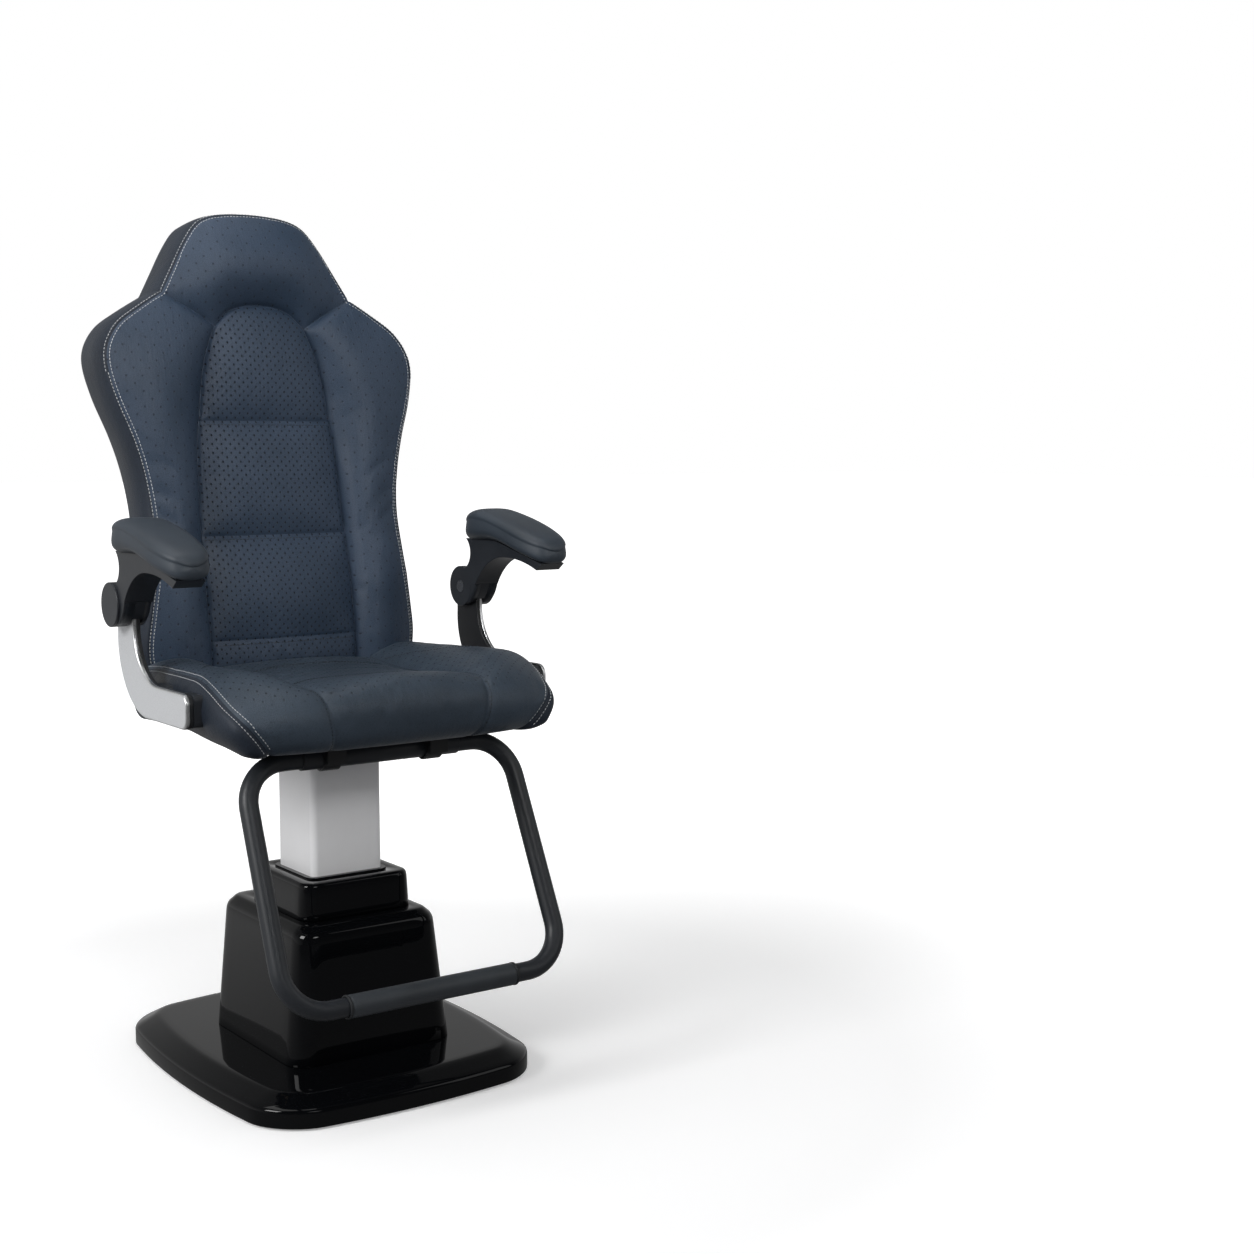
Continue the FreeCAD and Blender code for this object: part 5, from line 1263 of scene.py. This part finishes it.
def make_seat():
    """The seat cushion: a sunk middle between two bolsters, boxing, and rows of stitches."""
    bm = bmesh.new()
    rows = (9, 19, 38)
    total = sum(rows)
    centre = through_marks(np.array(SEAT_CENTRE) * MM, 1, (0.060, -0.092), rows)
    inner = through_marks(np.array(SEAT_INNER) * MM, 1, (0.060, -0.128), rows)
    outer = through(np.array(SEAT_OUTER) * MM, total)
    foot = through(np.array(SEAT_FOOT) * MM, total)
    flat = mirror_points
    columns = 17
    half_columns = 14

    def middle(j, u):
        """A point of the middle panel: row j, and u from -1 at its right seam to 1 at its left."""
        spot = centre[j] * (1 - abs(u) ** 2.2) + inner[j] * abs(u) ** 2.2
        spot[0] = inner[j][0] * u
        return spot

    for vert in bmesh.ops.create_grid(bm, x_segments=2 * columns, y_segments=total, size=1.0)["verts"]:
        vert.co = Vector(middle(round((vert.co.y + 1) / 2 * total), round((vert.co.x + 1) * columns) / columns - 1))

    def bolster_shape(u, v):
        swell = hump(u, 0.95) ** 0.9
        up = 14.0 * swell * min(1.0, (v + 0.15) / 0.2) * (1 if v < 0.55 else max(0.0, 1 - (v - 0.55) / 0.3))
        ahead = 10.0 * swell * max(0.0, min(1.0, (v - 0.55) / 0.2)) * max(0.0, min(1.0, (1 - v) / 0.12))
        return Vector((0, -ahead * MM, up * MM))

    rear_edge = through(np.array([inner[0], (inner[0] + outer[0]) / 2 + (0, 0, 0.004), outer[0]]), half_columns)
    front_edge = through(np.array([inner[-1], outer[-1]]), half_columns)
    patch(bm, rear_edge, front_edge, inner, outer, bolster_shape, 0)
    patch(bm, flat(rear_edge), flat(front_edge), flat(inner), flat(outer), bolster_shape, 0)

    def boxing_shape(u, v):
        swell = hump(u, 0.9) ** 0.8
        fade = min(1.0, (1 - v) / 0.12)
        corner = max(0.0, min(1.0, (v - 0.5) / 0.25))
        out = Vector((1 - 0.35 * corner, -0.75 * corner, 0)).normalized()
        full = 13 + 19 * corner
        return out * (full * swell * fade * MM) + Vector((0, 0, -5 * swell * fade * MM))

    rear_side = through(np.array([outer[0], (0.250, 0.130, 0.590), (0.240, 0.130, 0.550), foot[0]]), 14)
    front_side = np.repeat(outer[-1][None, :], 15, axis=0)
    for sign in (1, -1):
        swap = np.array((sign, 1, 1))

        def side_shape(u, v, sign=sign):
            move = boxing_shape(u, v)
            move.x *= sign
            return move

        patch(bm, rear_side * swap, front_side * swap, outer * swap, foot * swap, side_shape, 1)
    bmesh.ops.remove_doubles(bm, verts=bm.verts, dist=0.0003)
    bmesh.ops.recalc_face_normals(bm, faces=bm.faces)
    loops = [e for e in bm.edges if e.is_boundary]
    made = bmesh.ops.extrude_edge_only(bm, edges=loops)["geom"]
    fresh = [g for g in made if isinstance(g, bmesh.types.BMVert)]
    for vert in fresh:
        if vert.co.y > 0.125:
            vert.co.y += 0.0035
            vert.co.x *= 0.985
            vert.co.z += 0.001
        else:
            vert.co.x *= 0.93
            vert.co.y += 0.014
            vert.co.z = SEAT_UNDER
    rim = [g for g in made if isinstance(g, bmesh.types.BMEdge) and g.is_boundary]
    bmesh.ops.holes_fill(bm, edges=rim, sides=0)
    for face in bm.faces:
        if len(face.verts) > 4:
            face.material_index = 1
    bmesh.ops.recalc_face_normals(bm, faces=bm.faces)
    split_large(bm)
    obj = finish_mesh("seat_upholstery", bm, ["leather_seat", "leather_plain"])

    held = near_curve([outer, flat(outer), inner, flat(inner)], 0.0015)
    pinned = {v.index for v in obj.data.vertices if held(v.co) or v.co.z < 0.565 or v.co.y > 0.1285}
    for face in obj.data.polygons:
        if face.material_index == 1:
            pinned.update(face.vertices)
    puff(obj, sorted(pinned), 3.5, 0.004)

    bm = opened(obj)
    seam_edges = []
    for edge in bm.edges:
        a, b = edge.verts
        if a.co.y > 0.129 or b.co.y > 0.129 or (a.co.z < 0.533 and b.co.z < 0.533):
            continue
        if held(a.co) and held(b.co) and held((a.co + b.co) / 2):
            seam_edges.append(edge)
    cross = [
        np.array([middle(mark, step / columns) for step in range(-columns, columns + 1)])
        for mark in (rows[0], rows[0] + rows[1])
    ]
    for edge in bm.edges:
        a, b = edge.verts
        if all(f.material_index == 0 for f in edge.link_faces) and abs(a.co.x) < 0.138 and abs(b.co.x) < 0.138:
            for curve in cross:
                if on_plan(a.co, curve) and on_plan(b.co, curve) and abs(a.co.x - b.co.x) > 0.004 and a.co.z > 0.58:
                    seam_edges.append(edge)
    sink_seams(obj, bm, set(seam_edges), sizes().seam_width, sizes().seam_depth)
    declare(obj, "leatherette", "seat", "seat_cushion", "seat_board", fill=0.8)

    surface = surface_of(obj)
    stitches = bmesh.new()
    offset = sizes().seat_row_offset
    for sign in (-1, 1):
        seam = outer[1:-6] * (sign, 1, 1)
        sew(stitches, surface, seam, lambda p: (-p.x, 0.02, 0.05), offset)
        sew(stitches, surface, seam, lambda p: (p.x * 0.4, -0.05, -0.35), offset)
    stitching("seat_contrast_stitching", stitches, "thread")
    plain = bmesh.new()
    for sign in (-1, 1):
        seam = inner[1:-4] * (sign, 1, 1)
        sew(plain, surface, seam, lambda p: (p.x, 0, 0), offset * 0.7)
    diagonal = through(SEAT_DIAGONAL, 30)
    for sign in (-1, 1):
        sew(plain, surface, diagonal * (sign, 1, 1), lambda p: (p.x, 0, 0), 0.0)
    for curve in cross:
        line = []
        for place in curve[1:-1]:
            hit = surface.ray_cast(Vector((place[0], place[1], 0.8)), Vector((0, 0, -1)))[0]
            line.append(tuple(hit) if hit else tuple(place))
        sew(plain, surface, line, lambda p: (0, 1, 0), offset * 0.7)
        sew(plain, surface, line, lambda p: (0, -1, 0), offset * 0.7)
    stitching("seat_plain_stitching", plain, "seam_thread")


def on_plan(place, curve, gap=0.0042):
    """True where the point lies on the curve seen from above."""
    y = np.interp(place.x, curve[:, 0], curve[:, 1])
    return abs(place.y - y) < gap


# --- arms

PAD_TOP = [
    (-197, 801), (-196, 806), (-189, 816), (-170, 826), (-130, 839), (-90, 849), (-50, 857), (-18, 862), (2, 861),
    (17, 856.5), (28, 849), (34, 840), (36, 832),
]
PAD_LOW = [
    (-197, 799), (-196.5, 791), (-193, 784), (-186, 781), (-160, 787), (-120, 798), (-80, 808), (-50, 811), (0, 809),
    (22, 809), (31, 814), (35, 822), (36, 828),
]
PAD_SEAM = [
    (-197, 800), (-190, 804.5), (-175, 809), (-150, 816), (-120, 825), (-80, 836), (-40, 844), (-10, 846), (10, 843),
    (24, 838), (32, 833), (36, 829),
]
PAD_WIDTH = (
    (-197, 4), (-194, 15), (-186, 26), (-170, 34), (-140, 40), (-100, 42), (-40, 42), (-8, 41.2), (10, 38), (22, 32),
    (31, 22), (35, 12), (36, 5),
)


PAD_MIDDLE = 297.25
PAD_REAR, PAD_LENGTH = 36, 233


def make_pad(name, side):
    """Arm pad: a skinned foam loaf with a seam ring between its top and its sides."""
    lengths, around = 46, 28
    curves = [through(table, 400) for table in (PAD_TOP, PAD_LOW, PAD_WIDTH, PAD_SEAM)]

    def profile(y):
        """The pad's top, underside, half width and seam height at y."""
        return [float(np.interp(y, curve[:, 0], curve[:, 1])) for curve in curves]

    bm = bmesh.new()
    for vert in bmesh.ops.create_grid(bm, x_segments=around, y_segments=lengths, size=1.0)["verts"]:
        i = round((vert.co.x + 1) / 2 * around)
        j = round((vert.co.y + 1) / 2 * lengths)
        y = PAD_REAR - PAD_LENGTH * (0.5 - 0.5 * math.cos(math.pi * (j / lengths)))
        high, floor, half, seam = profile(y)
        half *= 0.975
        if j in (0, lengths):
            half = 0.0
            high = floor = seam
        angle = 2 * math.pi * i / around
        c, s = math.cos(angle), math.sin(angle)
        x = half * math.copysign(abs(c) ** 0.62, c)
        if s >= 0:
            z = seam + (high - seam) * abs(s) ** 0.85
        else:
            z = seam - (seam - floor) * abs(s) ** 0.55
            x *= 1 + 0.05 * math.sin(math.pi * abs(s) ** 0.8)
        vert.co = Vector((side * (PAD_MIDDLE + x), y, z)) * MM
    tidy_bmesh(bm)
    obj = finish_mesh(f"{name}_arm_pad_skin", bm, ["pad_polyurethane"])

    def on_seam(spot):
        _, _, half, seam = profile(spot.y / MM)
        return abs(spot.z / MM - seam) < 0.3 and abs(abs(spot.x / MM) - PAD_MIDDLE) > half * 0.9 - 4.2

    bm = opened(obj)
    seam_edges = []
    for edge in bm.edges:
        a, b = (v.co for v in edge.verts)
        if on_seam(a) and on_seam(b) and abs(a.y - b.y) > 0.0002:
            seam_edges.append(edge)
    sink_seams(obj, bm, seam_edges, 0.0030, 0.0013)
    declare(obj, "pad_polyurethane", f"{name}_arm", f"{name}_arm_pad", fill=0.9)


WEB_FRONT = [
    (-49.5, 6.5), (-47.4, 1.0), (-44.0, -6.0), (-39.0, -13.5), (-33.0, -20.0), (-27.0, -25.2), (-20.0, -28.6),
]
WEB_SLICES = ((275.8, 286.7, True), (286.5, 301.6, False), (301.4, 318.7, True))
SHELL_INNER, SHELL_OUTER = 0.2755, 0.319


def add_web(bm, centre, start, stop, full):
    """One slice, from |x| = start to stop, of the web that carries an arm's neck down to its knuckle.

    A slice that is not full leaves room for the bracket between the knuckle's cheeks.
    """
    side = math.copysign(1.0, centre.x)
    front = [tuple(p) for p in through(np.array(WEB_FRONT), 20) if full or p[0] < -33.0]
    back = [(-13.0, -26.5), (-20.0, -8.0), (-20.0, 6.0)] if full else [(-33.0, -20.0), (-33.0, 6.0)]
    verts = [
        bm.verts.new((side * start * MM, centre.y + y * MM, centre.z + z * MM)) for y, z in front + back
    ]
    edges = [bm.edges.new(pair) for pair in zip(verts, verts[1:] + verts[:1])]
    face = bmesh.ops.contextual_create(bm, geom=edges)["faces"]
    made = bmesh.ops.extrude_face_region(bm, geom=face)["geom"]
    far = [g for g in made if isinstance(g, bmesh.types.BMVert)]
    bmesh.ops.translate(bm, vec=(side * (stop - start) * MM, 0, 0), verts=far)
    slice_faces = list({f for v in verts + far for f in v.link_faces})
    bmesh.ops.recalc_face_normals(bm, faces=slice_faces)
    outer = verts[: len(front)] if start < 280 else far if stop > 310 else []
    level = verts[0].co.x if start < 280 else far[0].co.x
    ends = {v for v in outer if abs(v.co.x - level) < 1e-6 and v.co.y < centre.y - 0.0195}
    rims = [e for e in {e for v in ends for e in v.link_edges} if all(v in ends for v in e.verts)]
    if rims:
        bevel(bm, rims, 0.0050, 4, True)


def make_shell(name, side):
    """Moulded arm shell with rounded rims."""

    def rim(edge):
        normals = [abs(f.normal.x) for f in edge.link_faces]
        if max(normals) < 0.9 or min(normals) > 0.5:
            return False
        return all(min(abs(abs(v.co.x) - wall) for wall in (SHELL_INNER, SHELL_OUTER)) < 1e-4 for v in edge.verts)

    bm = softened_copy(f"{name}_arm_shell", 0.0060, 5, 35.0, rim)
    low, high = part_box(f"{name}_pivot_cap")
    for start, stop, full in WEB_SLICES:
        add_web(bm, (low + high) / 2, start, stop, full)
    bm.normal_update()
    obj = finish_mesh(f"{name}_arm_shell_skin", bm, ["arm_plastic"], 40)
    weigh_normals(obj)
    declare(obj, "arm_plastic", f"{name}_arm", f"{name}_arm_shell")


# --- finishes on the CAD nodes and the stage


def finish_nodes():
    """Better materials on the CAD nodes that stay."""
    special = {"column_wiper": "gloss_black", "footrest_saddles": "steel_black"}
    for name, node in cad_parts.items():
        slot = special.get(name, BODY_SLOTS[name])
        material = MATERIALS.get(slot, MATERIALS["plastic_black"])
        for held in node.material_slots:
            held.link = "OBJECT"
            held.material = material


def area_lamp(name, place, target, size, power, spread):
    """A rectangular lamp turned to its target; spread is in degrees."""
    data = bpy.data.lights.new(name, "AREA")
    data.shape = "RECTANGLE"
    data.size, data.size_y = size
    data.energy = power
    data.spread = math.radians(spread)
    lamp = bpy.data.objects.new(name, data)
    bpy.context.scene.collection.objects.link(lamp)
    lamp.location = place
    lamp.rotation_euler = (Vector(target) - Vector(place)).to_track_quat("-Z", "Y").to_euler()


def light_rays(tree):
    """Masks of the camera's rays and of mirrored or refracted ones."""
    rays = tree.nodes.new("ShaderNodeLightPath").outputs
    return rays["Is Camera Ray"], maths(tree, "MAXIMUM", rays["Is Glossy Ray"], rays["Is Transmission Ray"])


WORLD_LIGHT = 0.34
CAMERA_LENS = 52.39
CAMERA_PLACE = (-1.2884, -2.5397, 0.9699)
CAMERA_TURN = (84.2, 0.0, -36.3)
LAMPS = (
    ("side_softbox", (-3.2, -0.4, 2.3), (0, 0, 0.7), (1.3, 1.3), 73, 180.0),
    ("key_softbox", (-0.6, -3.2, 3.2), (0, 0.2, 1.55), (2.0, 2.0), 5.6, 32.0),
    ("fill_softbox", (2.6, -2.4, 2.0), (0, 0, 0.8), (1.8, 2.4), 14, 180.0),
    ("top_softbox", (-0.6, 0.2, 3.4), (0, 0, 0.7), (2.4, 2.4), 28, 180.0),
)


def make_stage():
    """The white floor and world, the lamps and the camera fitted to the photograph."""
    scene = bpy.context.scene
    scene.view_settings.view_transform = "Standard"
    bm = bmesh.new()
    bmesh.ops.create_grid(bm, x_segments=1, y_segments=1, size=40.0)
    mesh = bpy.data.meshes.new("studio_floor")
    bm.to_mesh(mesh)
    bm.free()
    floor = bpy.data.objects.new("studio_floor", mesh)
    scene.collection.objects.link(floor)
    material, tree, shader, where = start_material("studio_floor")
    shader.inputs["Roughness"].default_value = 0.9
    shader.inputs["Specular IOR Level"].default_value = 0.1
    camera_ray, mirrored_ray = light_rays(tree)
    speckle = noise(tree, where, 30.0)
    pale = mix_colour(tree, speckle, (0.87, 0.87, 0.875, 1.0), (0.89, 0.89, 0.895, 1.0))
    tone = mix_colour(tree, camera_ray, (0.30, 0.30, 0.31, 1.0), pale)
    tone = mix_colour(tree, mirrored_ray, tone, (0.10, 0.10, 0.10, 1.0))
    tree.links.new(tone, shader.inputs["Base Color"])
    away = put(tree, "VectorMath", {"operation": "LENGTH"}, i0=where).outputs[1]
    far = between(tree, away, 0.9, 2.4)
    glow = maths(tree, "MULTIPLY", camera_ray, between(tree, far, 0.0, 1.0, 0.30, 1.0))
    behind = put(tree, "SeparateXYZ", i0=where).outputs[1]
    mirrored = maths(tree, "MULTIPLY", mirrored_ray, between(tree, behind, -0.6, 1.2, 0.04, 0.40))
    glow = maths(tree, "ADD", glow, mirrored)
    light = put(tree, "Emission", Color=(1.0, 1.0, 1.0, 1.0), Strength=glow).outputs[0]
    both = put(tree, "AddShader", i0=shader.outputs[0], i1=light).outputs[0]
    tree.links.new(both, tree.nodes["Material Output"].inputs[0])
    mesh.materials.append(material)

    world = bpy.data.worlds.new("studio")
    scene.world = world
    world.use_nodes = True
    tree = world.node_tree
    camera_ray, mirrored_ray = light_rays(tree)
    sky = put(tree, "SeparateXYZ", i0=tree.nodes.new("ShaderNodeTexCoord").outputs["Generated"])
    height = between(tree, sky.outputs[2], 0.05, 0.6, 0.62, 0.2)
    reflected = maths(tree, "MULTIPLY", height, between(tree, sky.outputs[1], -0.35, 0.35, 0.10, 1.0))
    strength = maths(tree, "MULTIPLY", mirrored_ray, maths(tree, "SUBTRACT", reflected, WORLD_LIGHT))
    strength = maths(tree, "ADD", strength, WORLD_LIGHT)
    strength = maths(tree, "MAXIMUM", strength, camera_ray)
    tree.nodes["Background"].inputs[0].default_value = (1.0, 1.0, 1.0, 1.0)
    tree.links.new(strength, tree.nodes["Background"].inputs[1])

    for lamp in LAMPS:
        area_lamp(*lamp)

    data = bpy.data.cameras.new("camera")
    data.lens = CAMERA_LENS
    data.sensor_width = 36.0
    camera = bpy.data.objects.new("camera", data)
    scene.collection.objects.link(camera)
    camera.location = CAMERA_PLACE
    camera.rotation_euler = [math.radians(angle) for angle in CAMERA_TURN]
    scene.camera = camera


# --- operators, panel and registration


class CHAIR_OT_materials(bpy.types.Operator):
    """Build the materials and put them on the CAD nodes"""

    bl_idname = "chair.materials"
    bl_label = "Materials"

    def execute(self, context):
        build_materials()
        finish_nodes()
        return {"FINISHED"}


class CHAIR_OT_base(bpy.types.Operator):
    """Build the glossy base cover, pedestal housing and collar"""

    bl_idname = "chair.base"
    bl_label = "Base and pedestal"

    def execute(self, context):
        make_base()
        return {"FINISHED"}


class CHAIR_OT_footrest(bpy.types.Operator):
    """Build the footrest loop with its sleeve, grip and rings"""

    bl_idname = "chair.footrest"
    bl_label = "Footrest"

    def execute(self, context):
        make_footrest()
        return {"FINISHED"}


class CHAIR_OT_brackets(bpy.types.Operator):
    """Build the two silver arm brackets and the bars under the seat"""

    bl_idname = "chair.brackets"
    bl_label = "Arm brackets"

    def execute(self, context):
        make_brackets()
        make_cross_bars()
        return {"FINISHED"}


class CHAIR_OT_back(bpy.types.Operator):
    """Upholster the back"""

    bl_idname = "chair.back"
    bl_label = "Back cushion"

    def execute(self, context):
        make_back()
        return {"FINISHED"}


class CHAIR_OT_rear_panel(bpy.types.Operator):
    """Cover the back's rear panel"""

    bl_idname = "chair.rear_panel"
    bl_label = "Rear panel"

    def execute(self, context):
        make_rear_panel()
        return {"FINISHED"}


class CHAIR_OT_seat(bpy.types.Operator):
    """Upholster the seat"""

    bl_idname = "chair.seat"
    bl_label = "Seat cushion"

    def execute(self, context):
        make_seat()
        return {"FINISHED"}


class CHAIR_OT_arms(bpy.types.Operator):
    """Build the arm pads and their shells"""

    bl_idname = "chair.arms"
    bl_label = "Arms"

    def execute(self, context):
        for name, side in (("right", -1), ("left", 1)):
            make_pad(name, side)
            make_shell(name, side)
        return {"FINISHED"}


class CHAIR_OT_stage(bpy.types.Operator):
    """Set up the floor, the soft studio light and the camera"""

    bl_idname = "chair.stage"
    bl_label = "Stage"

    def execute(self, context):
        make_stage()
        return {"FINISHED"}


OPERATORS = (
    CHAIR_OT_materials,
    CHAIR_OT_base,
    CHAIR_OT_footrest,
    CHAIR_OT_brackets,
    CHAIR_OT_seat,
    CHAIR_OT_back,
    CHAIR_OT_rear_panel,
    CHAIR_OT_arms,
    CHAIR_OT_stage,
)


class CHAIR_PT_panel(bpy.types.Panel):
    """Lists the chair's pieces"""

    bl_idname = "CHAIR_PT_panel"
    bl_label = "Examination chair"
    bl_space_type = "VIEW_3D"
    bl_region_type = "UI"
    bl_category = "Chair"

    def draw(self, context):
        for group in (context.scene.chair_sizes, context.scene.chair_colours):
            box = self.layout.box()
            for key in group.bl_rna.properties.keys():
                if key not in ("rna_type", "name"):
                    box.prop(group, key)
        for operator in OPERATORS:
            self.layout.operator(operator.bl_idname)


CLASSES = (ChairColours, ChairSizes) + OPERATORS + (CHAIR_PT_panel,)


def register():
    for cls in CLASSES:
        bpy.utils.register_class(cls)
    bpy.types.Scene.chair_colours = bpy.props.PointerProperty(type=ChairColours)
    bpy.types.Scene.chair_sizes = bpy.props.PointerProperty(type=ChairSizes)


def unregister():
    del bpy.types.Scene.chair_sizes
    del bpy.types.Scene.chair_colours
    for cls in reversed(CLASSES):
        bpy.utils.unregister_class(cls)


def main():
    register()
    bpy.ops.chair.materials()
    bpy.ops.chair.base()
    bpy.ops.chair.footrest()
    bpy.ops.chair.brackets()
    bpy.ops.chair.seat()
    bpy.ops.chair.back()
    bpy.ops.chair.rear_panel()
    bpy.ops.chair.arms()
    bpy.ops.chair.stage()


if __name__ == "__main__":
    main()
